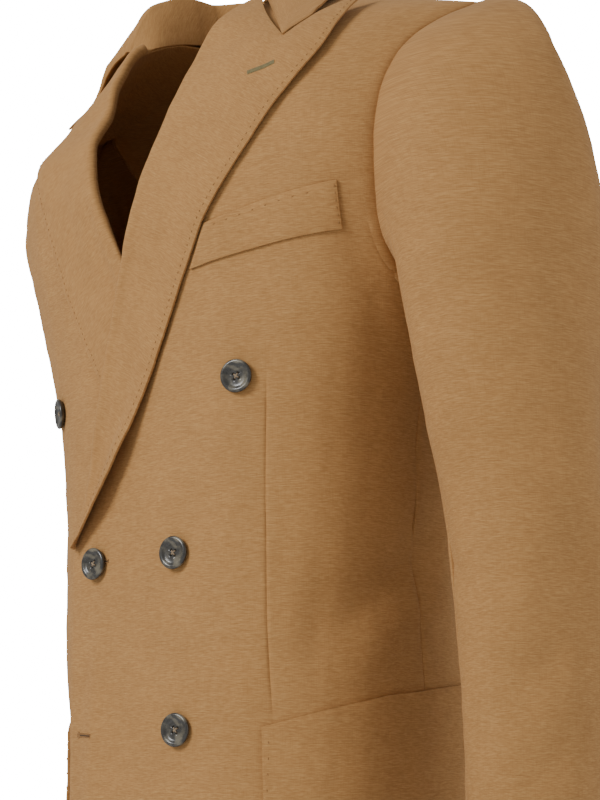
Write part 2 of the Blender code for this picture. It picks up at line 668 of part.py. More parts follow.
def sleeve_grid(table, reach, first, last):
    """Sleeve between two seam points of the armhole, from the armhole to the cuff."""
    points = np.arange(first, last + 1)
    loop = armhole_loop()[points % LOOP_POINTS]
    turns = points / LOOP_POINTS
    biceps = sleeve_ring(table[0], turns)
    below = sleeve_ring(table[1], turns)
    upper = (0.5 + 0.5 * np.cos(2 * math.pi * turns))[:, None]
    clear = SLEEVE_START_UNDER + upper * (SLEEVE_START - SLEEVE_START_UNDER)
    seam = figure(loop[:, 0], loop[:, 1]) + clear * np.array([1.0, 0.0, 0.0])
    leave = np.array([CAP_UNDER, 0.0, 0.0]) + upper * np.array([reach, 0.0, CAP_RISE])
    forward = np.maximum(np.sin(2 * math.pi * turns), 0.0)[:, None]
    leave = leave - forward * np.array([0.0, CAP_FORWARD, 0.0])
    arrive = unit(below - biceps) * (CAP_FALL_UNDER + CAP_FALL * upper)
    rows = []
    for t in np.linspace(0, 1, CAP_ROWS + 1):
        rows.append((2 * t**3 - 3 * t**2 + 1) * seam + (t**3 - 2 * t**2 + t) * leave
                    + (3 * t**2 - 2 * t**3) * biceps + (t**3 - t**2) * arrive)
    for height in np.linspace(table[0][0], table[-1][0], ARM_ROWS + 1)[1:]:
        rows.append(sleeve_ring((height, *through(table, height)), turns))
    return inset(np.array(rows), ("first_column", "last_column"), 2.0 * SEAM_GAP)


# ================================ pockets, welt and buttons =======================================
def hip_pocket_grid(lift):
    """Patch pocket: on the front and over the side seam."""
    share = np.linspace(0, 1, POCKET_COLUMNS + 1)
    bearing = POCKET_TOP[0][0] + share * (POCKET_TOP[-1][0] - POCKET_TOP[0][0])
    mouth = through(POCKET_TOP, bearing)[:, 0]
    side = np.minimum(share, 1 - share) * POCKET_WIDTH
    corner = POCKET_CORNER - np.sqrt(np.maximum(
        POCKET_CORNER**2 - np.maximum(POCKET_CORNER - side, 0.0)**2, 0.0))
    foot = POCKET_FOOT + corner
    down = np.linspace(0, 1, POCKET_ROWS + 1)[:, None]
    height = mouth + down * (foot - mouth)
    bearings = np.broadcast_to(bearing, height.shape)
    across = figure(np.minimum(bearings, 90.0), height)[..., 0]
    offset = lift(across, height) + LAYER + drape(bearings, height)
    return figure(bearings, height) + offset[..., None] * figure_normal(bearings, height)


def welt_grid():
    share = np.linspace(0, 1, WELT_COLUMNS + 1)[None, :, None]
    down = np.linspace(0, 1, WELT_ROWS + 1)[:, None, None]
    top = np.array(WELT_TOP[0]) + share * (np.array(WELT_TOP[1]) - np.array(WELT_TOP[0]))
    foot = np.array(WELT_FOOT[0]) + share * (np.array(WELT_FOOT[1]) - np.array(WELT_FOOT[0]))
    flat = top + down * (foot - top)
    return chest_point(flat[..., 0], flat[..., 1], left_lift(flat[..., 0], flat[..., 1]) + LAYER)


def button_mesh():
    """Turned button with a raised rim, its back at height 0."""
    rim, dish = BUTTON_RADIUS, BUTTON_DEPTH
    profile = ((0.0, dish * 0.62), (rim * 0.62, dish * 0.62), (rim * 0.74, dish * 0.98),
               (rim * 0.92, dish), (rim, dish * 0.62), (rim * 0.86, 0.0), (0.0, 0.0))
    work = bmesh.new()
    corners = [work.verts.new((radius, 0.0, height)) for radius, height in profile]
    edges = [work.edges.new(pair) for pair in zip(corners[:-1], corners[1:])]
    bmesh.ops.spin(work, geom=corners + edges, cent=(0, 0, 0), axis=(0, 0, 1),
                   angle=2 * math.pi, steps=BUTTON_SIDES, use_merge=True)
    bmesh.ops.remove_doubles(work, verts=work.verts, dist=0.00001)
    bmesh.ops.recalc_face_normals(work, faces=work.faces)
    mesh = bpy.data.meshes.new("button")
    work.to_mesh(mesh)
    work.free()
    return mesh


def seat_height(grid, spot, facing):
    """Furthest that a panel reaches towards a button's back, measured from a spot."""
    steps = np.linspace(0, 1, SEAT_STEPS)[:, None, None, None]
    rows = grid[:-1] + steps * (grid[1:] - grid[:-1])
    dense = rows[:, :, :-1] + steps[:, None] * (rows[:, :, 1:] - rows[:, :, :-1])
    away = dense.reshape(-1, 3) - spot
    out = away @ facing
    near = np.linalg.norm(away - out[:, None] * facing, axis=1) < BUTTON_RADIUS
    return float(out[near & (np.abs(out) < BUTTON_RADIUS)].max())


def add_button(name, across, height, panel, lean, collection, cutters):
    spot = chest_point(np.array(across), height, 0.0)
    normal = figure_normal(bearing_at(np.array(across), height), height)
    facing = Vector(normal)
    facing.rotate(Matrix.Rotation(math.radians(lean), 3, "Z"))
    stand = seat_height(panel, spot, np.array(facing)) + WALL / 2 + BUTTON_SEAT
    place = Vector(spot) + facing * stand
    turn = facing.to_track_quat("Z", "Y").to_matrix().to_4x4()
    piece = add_object(name, button_mesh(), collection, HORN_COLOUR, 0.35)
    piece.matrix_world = Matrix.Translation(place) @ turn
    for k in range(4):
        angle = math.pi / 4 + k * math.pi / 2
        bpy.ops.mesh.primitive_cylinder_add(vertices=8, radius=BUTTON_HOLE_RADIUS, depth=3 * BUTTON_DEPTH)
        cutter = bpy.context.object
        cutter.name = f"{name}_hole_{k + 1}"
        local = Matrix.Translation((BUTTON_HOLE_SPREAD * math.cos(angle),
                                    BUTTON_HOLE_SPREAD * math.sin(angle), BUTTON_DEPTH / 2))
        cutter.matrix_world = piece.matrix_world @ local
        cutter.hide_render = True
        cutter.display_type = "WIRE"
        for owner in list(cutter.users_collection):
            owner.objects.unlink(cutter)
        cutters.objects.link(cutter)
        hole = piece.modifiers.new(f"hole_{k + 1}", "BOOLEAN")
        hole.operation = "DIFFERENCE"
        hole.solver = "EXACT"
        hole.object = cutter


# ================================ the coat =======================================================
def new_collection(name):
    made = bpy.data.collections.new(name)
    bpy.context.scene.collection.children.link(made)
    return made


def main():
    for old in list(bpy.data.objects):
        bpy.data.objects.remove(old)
    coat = new_collection("double_breasted_blazer")
    cutters = new_collection("button_hole_cutters")

    fronts = {"left": front_grid(left_lift), "right": other_side(front_grid(right_lift))}
    for name, grid in fronts.items():
        cloth_sheet(name + "_front", grid, coat)
    side, back = side_grid(), back_grid()
    for name, grid in (("side_panel", side), ("back", back)):
        cloth_sheet("left_" + name, grid, coat)
        cloth_sheet("right_" + name, other_side(grid), coat)
    for name, seams in (("top_sleeve", TOP_SLEEVE), ("under_sleeve", UNDER_SLEEVE)):
        cloth_sheet("left_" + name, sleeve_grid(LEFT_ARM, LEFT_CAP_REACH, *seams), coat)
        right = sleeve_grid(RIGHT_ARM, RIGHT_CAP_REACH, *seams)
        cloth_sheet("right_" + name, other_side(right), coat)
    left = lapel_grid(left_lift, LEFT_LAPEL_EDGE, left_roll_radius, left_edge_lift, LEFT_PEAK_LIFT)
    right = lapel_grid(right_lift, RIGHT_LAPEL_EDGE, right_roll_radius, right_edge_lift, RIGHT_PEAK_LIFT)
    cloth_sheet("left_lapel", left, coat)
    cloth_sheet("right_lapel", other_side(right), coat)
    cloth_sheet("collar", collar_grid(), coat)
    cloth_sheet("breast_welt", welt_grid(), coat)
    cloth_sheet("left_hip_pocket", hip_pocket_grid(left_lift), coat)
    cloth_sheet("right_hip_pocket", other_side(hip_pocket_grid(right_lift)), coat)
    for name, across, height, side, lean in BUTTONS:
        add_button(name, across, height, fronts[side], lean, coat, cutters)


main()
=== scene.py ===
"""Looks of the double breasted blazer: cloth shells, creases, stitching, horn buttons and a studio.

Metres, +Z up, the front faces -Y and the wearer's left is +X. Each cloth shell follows the form of
its own solid, on a finer net, with its creases and seams pressed in.
"""
import functools
import math

import bmesh
import bpy
import numpy as np
from bpy.props import FloatProperty, FloatVectorProperty, PointerProperty
from mathutils import Matrix, Vector
from mathutils.bvhtree import BVHTree


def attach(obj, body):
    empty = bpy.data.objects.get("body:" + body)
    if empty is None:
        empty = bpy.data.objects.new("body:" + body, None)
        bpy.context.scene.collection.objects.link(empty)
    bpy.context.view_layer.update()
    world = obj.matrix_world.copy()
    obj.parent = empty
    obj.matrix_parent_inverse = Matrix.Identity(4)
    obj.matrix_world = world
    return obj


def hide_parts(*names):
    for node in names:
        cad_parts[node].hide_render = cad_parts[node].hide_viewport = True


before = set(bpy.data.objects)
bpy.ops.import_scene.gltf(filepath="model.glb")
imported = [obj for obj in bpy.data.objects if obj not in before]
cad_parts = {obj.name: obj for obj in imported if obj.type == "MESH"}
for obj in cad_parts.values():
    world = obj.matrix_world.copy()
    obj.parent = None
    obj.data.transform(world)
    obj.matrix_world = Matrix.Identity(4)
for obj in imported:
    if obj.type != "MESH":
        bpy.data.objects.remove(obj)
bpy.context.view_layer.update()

bl_info = {
    "name": "Double breasted blazer",
    "version": (1, 0, 0),
    "blender": (4, 5, 0),
    "location": "View3D > Sidebar > Blazer",
    "description": "Dresses the solids of a double breasted blazer in camel cloth and dark horn",
    "category": "Object",
}

DETAIL = 4               # net of the shells, as a multiple of the solids' net

# --- cloth ---------------------------------------------------------------------------------
WALL = 0.0018            # thickness of every cloth wall
SEAM_GAP = -0.0002       # the shells meet in their seams
BENT_GAP = -0.0004       # the same where the two pieces meet at an angle
LAY_GAP = 0.0008         # clear space under a piece that lies on a panel
LAYER = WALL + LAY_GAP   # from one middle surface to the next one that lies on it

# --- the figure that the coat is cut for ------------------------------------------------------
ROUNDNESS = 2.7          # exponent of the oval sections
NECK_SIDE = 0.080        # centre to the neck end of the shoulder seam
SHOULDER_SLOPE = 0.28    # drop of the shoulder seam for each metre outwards
SHOULDER_SET = 0.024     # shoulder seam behind the middle of the chest
FRONT_CAP = 0.125        # height over which the chest closes up to the shoulder seam
BACK_CAP = 0.15
FIGURE = (  # height, half_width, front_depth, back_depth
    (-0.760, 0.165, 0.115, 0.152),
    (-0.665, 0.164, 0.116, 0.149),
    (-0.565, 0.161, 0.118, 0.138),
    (-0.445, 0.162, 0.118, 0.118),
    (-0.325, 0.175, 0.120, 0.116),
    (-0.255, 0.202, 0.122, 0.126),
    (-0.165, 0.225, 0.133, 0.130),
    (-0.090, 0.227, 0.130, 0.122),
    (0.030, 0.225, 0.118, 0.110),
)

# --- body panels -----------------------------------------------------------------------------
HEM = -0.745
FRONT_EDGE = 0.073       # centre to the front edge, past the centre on both sides
BREAK_HEIGHT = -0.440    # where the lapel starts to roll
BACK_NECK_RISE = 0.003   # height of the neck seam at the centre back
FRONT_COLUMNS = 15 * DETAIL
BACK_COLUMNS = 11 * DETAIL
BACK_NECK_STEPS = 4 * DETAIL
BACK_NECK_FADE = 4.0     # keeps the bend of the neck seam out of the blades
BODY_ROWS = 13 * DETAIL           # hem to underarm
LOOP_POINTS = 26 * DETAIL         # points round each armhole
LOOP_SIDE = 13 * DETAIL           # loop point where the front's side seam ends
LOOP_BACK = 17 * DETAIL           # loop point where the back's side seam ends
SIDE_COLUMNS = LOOP_BACK - LOOP_SIDE
ROLL_LINE = (  # height, distance from the centre towards the piece's own side
    (BREAK_HEIGHT, -0.0725),
    (-0.410, -0.0560),
    (-0.374, -0.0405),
    (-0.310, -0.0220),
    (-0.254, -0.0050),
    (-0.198, 0.0200),
    (-0.144, 0.0425),
    (-0.100, 0.0585),
    (-0.060, 0.0690),
    (0.000, 0.0770),
)
ARMHOLE = (  # turn, bearing in degrees from the centre front, height
    (0.125, 69.5, -0.078),
    (0.250, 65.0, -0.150),
    (0.375, 71.0, -0.226),
    (0.500, 93.0, -0.265),
    (0.625, 111.0, -0.230),
    (0.750, 117.5, -0.152),
    (0.875, 107.0, -0.078),
)
SIDE_SEAMS = (  # height, bearing of the front's side seam, bearing of the back's side seam
    (-0.760, 97.0, 131.0),
    (-0.540, 95.4, 130.0),
    (-0.440, 93.7, 128.0),
    (-0.340, 92.2, 121.0),
    (-0.240, 93.0, 112.5),
)

# --- how the left front lies over the right one -------------------------------------------------
OVERLAP_LIFT = 0.0056    # left front over the right front and its lapel
EDGE_STAND = 0.0030      # more at the free front edge
DRAPE_DEPTH = 0.0040     # soft hollow from the pocket towards the side
NECK_HOLLOW = 0.0085     # how far both fronts fall in beside the neck
RIGHT_HOLLOW = 0.0110    # how far the right front falls in below the shoulder
RIGHT_HIP_HOLLOW = 0.0050

# --- lapels ------------------------------------------------------------------------------------
ROLL_RADIUS = 0.0036     # soft fold of the lapel
FOLD_GAP = 0.0011        # clear space between the fold and the panel's edge
FLAT_RADIUS = 0.5 * LAYER
LAPEL_EASE = 0.0006      # more than the lying gap between a lapel and its front
LAPEL_ROWS = 20 * DETAIL
LAPEL_COLUMNS = 9 * DETAIL
LAPEL_NOTCH = 5 * DETAIL          # column of the lapel at the corner of the gorge
FOLD_STEPS = 5 * DETAIL
LAPEL_FOOT = -0.433      # lowest row of the lapel, just above the break
LAPEL_HEAD = -0.020      # where the roll line meets the gorge
GORGE_NOTCH = (0.1400, -0.0740)    # across, height
PEAK_TIP = (0.1690, -0.0400)
LEFT_LAPEL_EDGE = (  # height, distance from the centre
    (-0.440, -0.0700),
    (-0.411, -0.0350),
    (-0.382, -0.0090),
    (-0.353, 0.0090),
    (-0.301, 0.0370),
    (-0.239, 0.0710),
    (-0.184, 0.1100),
    (-0.156, 0.1340),
    (-0.131, 0.1530),
    (-0.110, 0.1655),
    (-0.090, 0.1735),
    (-0.068, 0.1740),
    (-0.040, 0.1690),
)
RIGHT_LAPEL_EDGE = (  # the same columns; the lapel underneath is drawn further across
    (-0.440, -0.0700),
    (-0.411, -0.0380),
    (-0.382, -0.0100),
    (-0.353, 0.0120),
    (-0.301, 0.0470),
    (-0.239, 0.0860),
    (-0.184, 0.1060),
    (-0.126, 0.1360),
    (-0.101, 0.1470),
    (-0.068, 0.1560),
    (-0.040, 0.1620),
)
LAPEL_LIFT = 0.0100      # most that the lower lapel edge stands off the front
EDGE_LIFT = 0.0020       # how far the rest of the left lapel's edge stands off
LEFT_PEAK_LIFT = 0.0035  # the same at the tip of the peak
RIGHT_PEAK_LIFT = 0.0004

# --- collar ------------------------------------------------------------------------------------
COLLAR_FRONT_STEPS = 6 * DETAIL   # gorge to shoulder seam
COLLAR_BACK_STEPS = 7 * DETAIL    # shoulder seam to the centre back
COLLAR_FALL_COLUMNS = 7 * DETAIL
COLLAR_NOTCH = 5 * DETAIL          # column of the fall at the corner of the gorge
RIGHT_COLLAR_LEAN = 0.022 # how far the right side of the crest stands further out
COLLAR_FOLD = 0.0030      # half width of the fold at the crest
COLLAR_SAG = 0.0015       # how much the fall hollows over the shoulder
COLLAR_CLEARANCE = 0.0068 # middle surface of the fall over the shoulder
COLLAR_CREST = (  # turn, how far inside the neck seam, how far above it
    (0.00, 0.0030, 0.0030),
    (0.08, 0.0034, 0.0210),
    (0.16, 0.0036, 0.0350),
    (0.28, 0.0040, 0.0410),
    (0.50, 0.0040, 0.0395),
    (1.00, 0.0040, 0.0390),
)
COLLAR_EDGE = (  # turn, across, distance behind the middle
    (0.00, 0.1480, -0.0740),
    (0.25, 0.1370, -0.0330),
    (0.50, 0.1220, 0.0160),
    (0.75, 0.0840, 0.0760),
    (1.00, 0.0000, 0.1000),
)

# --- sleeves -----------------------------------------------------------------------------------
CAP_ROWS = 7 * DETAIL
ARM_ROWS = 10 * DETAIL
TOP_SLEEVE = (-8 * DETAIL, 9 * DETAIL)     # loop points at the hind and the front sleeve seam
UNDER_SLEEVE = (9 * DETAIL, LOOP_POINTS - 8 * DETAIL)
LEFT_CAP_REACH = 0.225   # how squarely the sleeve head leaves the shoulder
RIGHT_CAP_REACH = 0.130
CAP_RISE = 0.012         # how much it stands up over the shoulder
CAP_UNDER = 0.030        # the same under the arm
CAP_FORWARD = 0.045      # how far the head bulges forward
CAP_FALL = 0.205         # how straight the head comes down into the arm
CAP_FALL_UNDER = 0.050
SLEEVE_START = 0.0000    # the sleeve's edge outside the armhole edge of the body, at the top
SLEEVE_START_UNDER = 0.0002
LEFT_ARM = (  # height, centre_x, centre_y, half_across, half_deep, rise of the outer side
    (-0.275, 0.2615, 0.0120, 0.0590, 0.0820, 0.030),
    (-0.360, 0.2630, 0.0130, 0.0545, 0.0665, 0.004),
    (-0.420, 0.2655, 0.0185, 0.0510, 0.0585, 0.000),
    (-0.470, 0.2680, 0.0225, 0.0490, 0.0590, 0.000),
    (-0.600, 0.2700, 0.0205, 0.0430, 0.0510, 0.000),
    (-0.665, 0.2700, 0.0165, 0.0405, 0.0475, 0.000),
)
RIGHT_ARM = (  # the same columns; the right arm is held further back
    (-0.275, 0.2460, 0.0700, 0.0540, 0.0680, 0.030),
    (-0.360, 0.2490, 0.0940, 0.0520, 0.0650, 0.004),
    (-0.420, 0.2510, 0.1050, 0.0510, 0.0610, 0.000),
    (-0.470, 0.2500, 0.1140, 0.0490, 0.0590, 0.000),
    (-0.600, 0.2480, 0.1200, 0.0430, 0.0510, 0.000),
    (-0.665, 0.2460, 0.1180, 0.0405, 0.0475, 0.000),
)

# --- pockets -----------------------------------------------------------------------------------
POCKET_TOP = (  # bearing, height of the mouth
    (42.0, -0.5700),
    (63.6, -0.5590),
    (82.5, -0.5500),
    (95.9, -0.5430),
    (118.0, -0.5370),
)
POCKET_FOOT = -0.722
POCKET_CORNER = 0.030    # radius of the two lower corners
POCKET_WIDTH = 0.185
POCKET_COLUMNS = 12 * DETAIL
POCKET_ROWS = 8 * DETAIL
WELT_COLUMNS = 8 * DETAIL
WELT_ROWS = 3 * DETAIL
WELT_TOP = ((0.0930, -0.2075), (0.1900, -0.1885))      # front end, side end: across, height
WELT_FOOT = ((0.0745, -0.2385), (0.1870, -0.2225))

# --- buttons -----------------------------------------------------------------------------------
BUTTON_RADIUS = 0.0121
BUTTON_DEPTH = 0.0040
BUTTON_HOLE_RADIUS = 0.0010
BUTTON_HOLE_SPREAD = 0.0023
BUTTON_SIDES = 48
BUTTON_SEAT = 0.0004     # clear space between a button's back and the cloth
BUTTONS = (  # name, across, height, front that it lies on, lean to the wearer's left in degrees
    ("button_left_top", 0.1075, -0.3210, "left", 8.0),
    ("button_left_middle", 0.0525, -0.4450, "left", 9.0),
    ("button_left_lower", 0.0560, -0.5715, "left", 9.0),
    ("button_right_top", -0.1180, -0.3200, "right", 0.0),
    ("button_right_middle", -0.0390, -0.4470, "left", 11.0),
)

# --- stitching and soft relief --------------------------------------------------------------------
BEVEL = 0.00045          # rounding of the cloth's cut edges
SEAM_DIP = 0.00055       # how far the cloth sinks at a seam
SEAM_SPREAD = 0.0022
EDGE_LINES = (0.0006, 0.0013, 0.0021, 0.0031, 0.0043)    # extra lines of the net beside an edge
DART_SHARE = 0.525       # column of the front panel that the dart follows
DART_LINES = (-0.0042, -0.0028, -0.0018, -0.0011, -0.0005, 0.0, 0.0005, 0.0011, 0.0018, 0.0028, 0.0042)
DART_WIDTH = 0.0012
DART_DEPTH = 0.0013
DART = (  # height, across
    (-0.5650, 0.1260),
    (-0.5390, 0.1240),
    (-0.4990, 0.1220),
    (-0.4350, 0.1220),
    (-0.3760, 0.1230),
    (-0.3420, 0.1250),
    (-0.3140, 0.1270),
)
# creases: start along, start height, end along, end height, half width, height (below 0 a trough),
# bow to one side. Along is the distance round from the centre front or back, or round the sleeve.
LEFT_FRONT_CREASES = (
    (0.300, -0.4380, 0.165, -0.5080, 0.0110, -0.0026, 0.006),
    (0.300, -0.4700, 0.180, -0.5400, 0.0160, 0.0018, 0.006),
    (0.300, -0.4060, 0.230, -0.4560, 0.0080, -0.0018, 0.004),
    (0.300, -0.3800, 0.235, -0.4180, 0.0120, 0.0010, 0.003),
    (0.110, -0.3980, 0.060, -0.4300, 0.0150, -0.0019, 0.002),
    (-0.030, -0.4700, -0.045, -0.7600, 0.0110, 0.0018, 0.003),
    (0.000, -0.4300, -0.010, -0.3600, 0.0110, 0.0014, 0.003),
    (0.180, -0.3300, 0.150, -0.4400, 0.0240, 0.0012, 0.004),
    (0.210, -0.1900, 0.232, -0.3300, 0.0160, -0.0026, 0.004),
    (0.060, -0.5000, 0.015, -0.5350, 0.0180, -0.0009, 0.003),
    (0.030, -0.6100, 0.110, -0.6500, 0.0230, 0.0008, 0.004),
    (0.120, -0.2400, 0.200, -0.2800, 0.0200, -0.0007, 0.003),
)
RIGHT_FRONT_CREASES = (
    (0.300, -0.4450, 0.190, -0.5000, 0.0110, -0.0016, 0.005),
    (0.300, -0.4750, 0.200, -0.5250, 0.0160, 0.0011, 0.004),
    (0.300, -0.4100, 0.240, -0.4450, 0.0100, -0.0014, 0.003),
    (0.120, -0.4000, 0.180, -0.4300, 0.0170, -0.0009, 0.003),
    (0.210, -0.1950, 0.228, -0.2900, 0.0140, -0.0013, 0.003),
    (0.040, -0.5900, 0.130, -0.6350, 0.0240, 0.0008, 0.004),
)
BACK_CREASES = (
    (0.020, -0.3950, 0.150, -0.4250, 0.0150, -0.0016, 0.006),
    (0.060, -0.4400, 0.190, -0.4280, 0.0130, -0.0013, 0.005),
    (0.190, -0.2300, 0.140, -0.3300, 0.0160, -0.0014, 0.006),
    (0.160, -0.1200, 0.175, -0.2400, 0.0140, -0.0012, 0.004),
    (0.030, -0.0500, 0.110, -0.0800, 0.0150, -0.0010, 0.004),
    (0.050, -0.5400, 0.060, -0.7300, 0.0300, 0.0016, 0.004),
)
LEFT_SLEEVE_CREASES = (
    (0.000, -0.3000, 0.000, -0.4800, 0.0350, 0.0035, 0.0),
    (0.130, -0.4520, 0.080, -0.4980, 0.0110, -0.0030, 0.004),
    (0.128, -0.4200, 0.070, -0.4520, 0.0110, -0.0012, 0.003),
    (0.125, -0.5000, 0.065, -0.5430, 0.0120, -0.0014, 0.003),
    (0.012, -0.5150, 0.075, -0.5560, 0.0160, -0.0034, 0.004),
    (-0.010, -0.4250, 0.035, -0.4850, 0.0170, -0.0038, 0.004),
    (0.010, -0.3300, 0.045, -0.4050, 0.0180, -0.0014, 0.004),
    (0.005, -0.5850, 0.060, -0.6040, 0.0140, -0.0030, 0.003),
    (0.045, -0.4500, 0.060, -0.5150, 0.0130, 0.0016, 0.003),
    (0.110, -0.2100, 0.078, -0.3300, 0.0150, -0.0018, 0.006),
    (0.080, -0.2000, 0.088, -0.4200, 0.0200, 0.0013, 0.004),
    (-0.060, -0.1200, -0.020, -0.2600, 0.0220, -0.0013, 0.006),
)
RIGHT_SLEEVE_CREASES = (
    (0.135, -0.4400, 0.070, -0.4880, 0.0110, -0.0018, 0.004),
    (0.130, -0.4800, 0.075, -0.5220, 0.0120, -0.0014, 0.003),
    (-0.050, -0.4200, 0.010, -0.4700, 0.0170, -0.0016, 0.004),
    (0.020, -0.5300, 0.075, -0.5700, 0.0150, -0.0011, 0.004),
    (0.110, -0.2200, 0.080, -0.3300, 0.0150, -0.0016, 0.006),
    (-0.055, -0.1300, -0.020, -0.2700, 0.0220, -0.0012, 0.006),
)
UNDER_SLEEVE_CREASES = (
    (0.160, -0.4400, 0.210, -0.4700, 0.0110, -0.0015, 0.003),
    (0.165, -0.4850, 0.215, -0.5150, 0.0120, -0.0013, 0.003),
    (0.155, -0.3500, 0.200, -0.3800, 0.0120, -0.0012, 0.003),
)
LAPEL_CREASES = (
    (0.0110, 0.0100, 0.0130, 0.3300, 0.0035, 0.0012, 0.0),
    (0.0210, 0.0100, 0.0240, 0.3300, 0.0060, -0.0009, 0.0),
    (0.035, 0.1100, 0.070, 0.1700, 0.0160, -0.0005, 0.003),
    (0.030, 0.2200, 0.080, 0.2700, 0.0180, -0.0005, 0.003),
)
SLEEVE_ROUND = 0.360     # round the arm, to turn a share of the ring into a distance
RIPPLE = 0.00035         # faint unevenness of all the cloth
RIPPLE_WAVES = (  # length along, length up, lean, share
    (0.083, 0.117, 0.4, 1.0),
    (0.047, 0.061, -0.7, 0.6),
    (0.029, 0.035, 0.9, 0.35),
)

# --- stitches --------------------------------------------------------------------------------------
STITCH_LENGTH = 0.0018
STITCH_RADIUS = 0.00024
PICK_SPACING = 0.0110    # pick stitches along edges
EDGE_STITCH = 0.0050     # their distance from the edge
CLOSED_WIDTH = 0.0042    # width of the closed buttonhole on the lapel
STITCH_LOOK = 0.0005     # step ahead that gives a stitch its direction
PURL_LOOK = 0.0004       # the same round a buttonhole
EYELET_MIDDLE = 0.8      # where an eyelet's stitches are centred, as a share of its radius
EYELET_STITCH = 0.7      # their length, as a share of its radius
SLIT_RISE = 0.00004      # how far the slit's shade stands off the cloth
BUTTONHOLES = (  # name, panel, inner end across, height, outer end across, height, thread, eyelet, open
    ("lapel_buttonhole", "left_lapel", 0.1275, -0.1035, 0.1460, -0.0985, "pale_thread", 0.0, False),
    ("lower_buttonhole", "left_front", -0.0400, -0.5750, -0.0590, -0.5740, "camel_thread", 0.0021, True),
    ("fastened_buttonhole", "left_front", -0.0230, -0.4455, -0.0480, -0.4470, "camel_thread", 0.0, True),
)

# --- cut of the pieces ------------------------------------------------------------------------------
CUTS = {  # width, length, flat area in square metres
    "front": (0.330, 0.765, 0.216),
    "side_panel": (0.088, 0.535, 0.036),
    "back": (0.235, 0.770, 0.137),
    "top_sleeve": (0.275, 0.665, 0.143),
    "under_sleeve": (0.140, 0.500, 0.055),
    "lapel": (0.118, 0.400, 0.034),
    "collar": (0.520, 0.118, 0.054),
    "breast_welt": (0.120, 0.036, 0.0040),
    "hip_pocket": (0.187, 0.184, 0.033),
}

# --- finer shape of collar and buttons --------------------------------------------------------------
CREST_STEPS = 8
STAND_STEPS = 6
ALL_SIDES = ("first_row", "last_row", "first_column", "last_column")
BUTTON_PROFILE = (  # share of the radius, share of the depth, from the middle round to the back
    (0.00, 0.60),
    (0.40, 0.60),
    (0.56, 0.63),
    (0.64, 0.70),
    (0.70, 0.82),
    (0.755, 0.94),
    (0.81, 0.99),
    (0.87, 1.00),
    (0.93, 0.95),
    (0.975, 0.84),
    (1.00, 0.66),
    (0.99, 0.46),
    (0.94, 0.20),
    (0.86, 0.00),
    (0.00, 0.00),
)
BUTTON_TURNS = {"button_left_top": 12.0, "button_left_middle": -7.0, "button_left_lower": -10.0,
                "button_right_top": 20.0, "button_right_middle": 16.0}
PURL_SPACING = 0.00062
PURL_LENGTH = 0.0012
PURL_RADIUS = 0.00030
SLIT_HALF = 0.00035

LEFT_PHASE = 0.4         # where the ripple of each side starts
RIGHT_PHASE = 1.9

# --- cloth pattern -----------------------------------------------------------------------------------
SLUB_LONG = 0.0150
SLUB_THIN = 0.00072
FIBRE_LONG = 0.0052
FIBRE_THIN = 0.00056
WEFT_WANDER = 0.0018

# --- studio ------------------------------------------------------------------------------------------
FLOOR_HALF = 6.0
FLOOR_HEIGHT = -1.0
CAMERA_TARGET = (0.0, 0.0, -0.29)
CAMERA_BEARING = 50.0    # degrees from the front towards the wearer's left
CAMERA_TILT = -10.4
CAMERA_LENS = 96.1
CAMERA_AIM = (0.01967, -0.01293)      # to the right and up, for each metre ahead
KEY_PLACE = (-1.9, 1.3, 1.2)          # right, up and back from the target as the camera sees it
FILL_PLACE = (1.9, 0.5, 1.2)
BACKDROP = 18.0


# ================================ small mathematics =============================================
def smooth(value):
    """Ease from 0 to 1 with level ends."""
    t = np.clip(value, 0.0, 1.0)
    return t * t * (3.0 - 2.0 * t)


def through(table, key):
    """Smooth curve through the rows of a table, read at the values of its first column."""
    rows = np.array(sorted(table), float)
    knots, values = rows[:, 0], rows[:, 1:]
    spans = np.diff(knots)[:, None]
    slopes = np.diff(values, axis=0) / spans
    tangents = np.vstack([slopes[:1], slopes[-1:]]).repeat([1, 1], axis=0)
    inner = (slopes[:-1] * spans[1:] + slopes[1:] * spans[:-1]) / (spans[1:] + spans[:-1])
    tangents = np.vstack([tangents[:1], inner, tangents[1:]])
    key = np.clip(np.asarray(key, float), knots[0], knots[-1])
    cell = np.clip(np.searchsorted(knots, key) - 1, 0, len(knots) - 2)
    span = (knots[cell + 1] - knots[cell])[..., None]
    t = (key - knots[cell])[..., None] / span
    return ((2 * t**3 - 3 * t**2 + 1) * values[cell] + (t**3 - 2 * t**2 + t) * span * tangents[cell]
            + (3 * t**2 - 2 * t**3) * values[cell + 1] + (t**3 - t**2) * span * tangents[cell + 1])


def unit(vectors):
    return vectors / np.linalg.norm(vectors, axis=-1, keepdims=True)


# ================================ the figure ====================================================
def ridge(across):
    """Height of the shoulder seam line at a distance from the centre."""
    return -SHOULDER_SLOPE * (np.abs(across) - NECK_SIDE)


def figure(bearing, height):
    """Point of the figure at a bearing in degrees from the centre front and a height."""
    bearing, height = np.broadcast_arrays(np.asarray(bearing, float), np.asarray(height, float))
    half_width, front, back = np.moveaxis(through(FIGURE, height), -1, 0)
    turn = np.radians(bearing)
    power = 2.0 / ROUNDNESS
    across = half_width * np.sign(np.sin(turn)) * np.abs(np.sin(turn)) ** power
    in_front = np.cos(turn) > 0
    depth = np.where(in_front, -front, back) * np.abs(np.cos(turn)) ** power
    cap = np.where(in_front, FRONT_CAP, BACK_CAP)
    closing = np.clip((ridge(across) - height) / cap, 0.0, 1.0)
    opened = np.sqrt(1.0 - (1.0 - closing) ** 2)
    return np.stack([across, SHOULDER_SET * (1.0 - opened) + depth * opened, height], axis=-1)


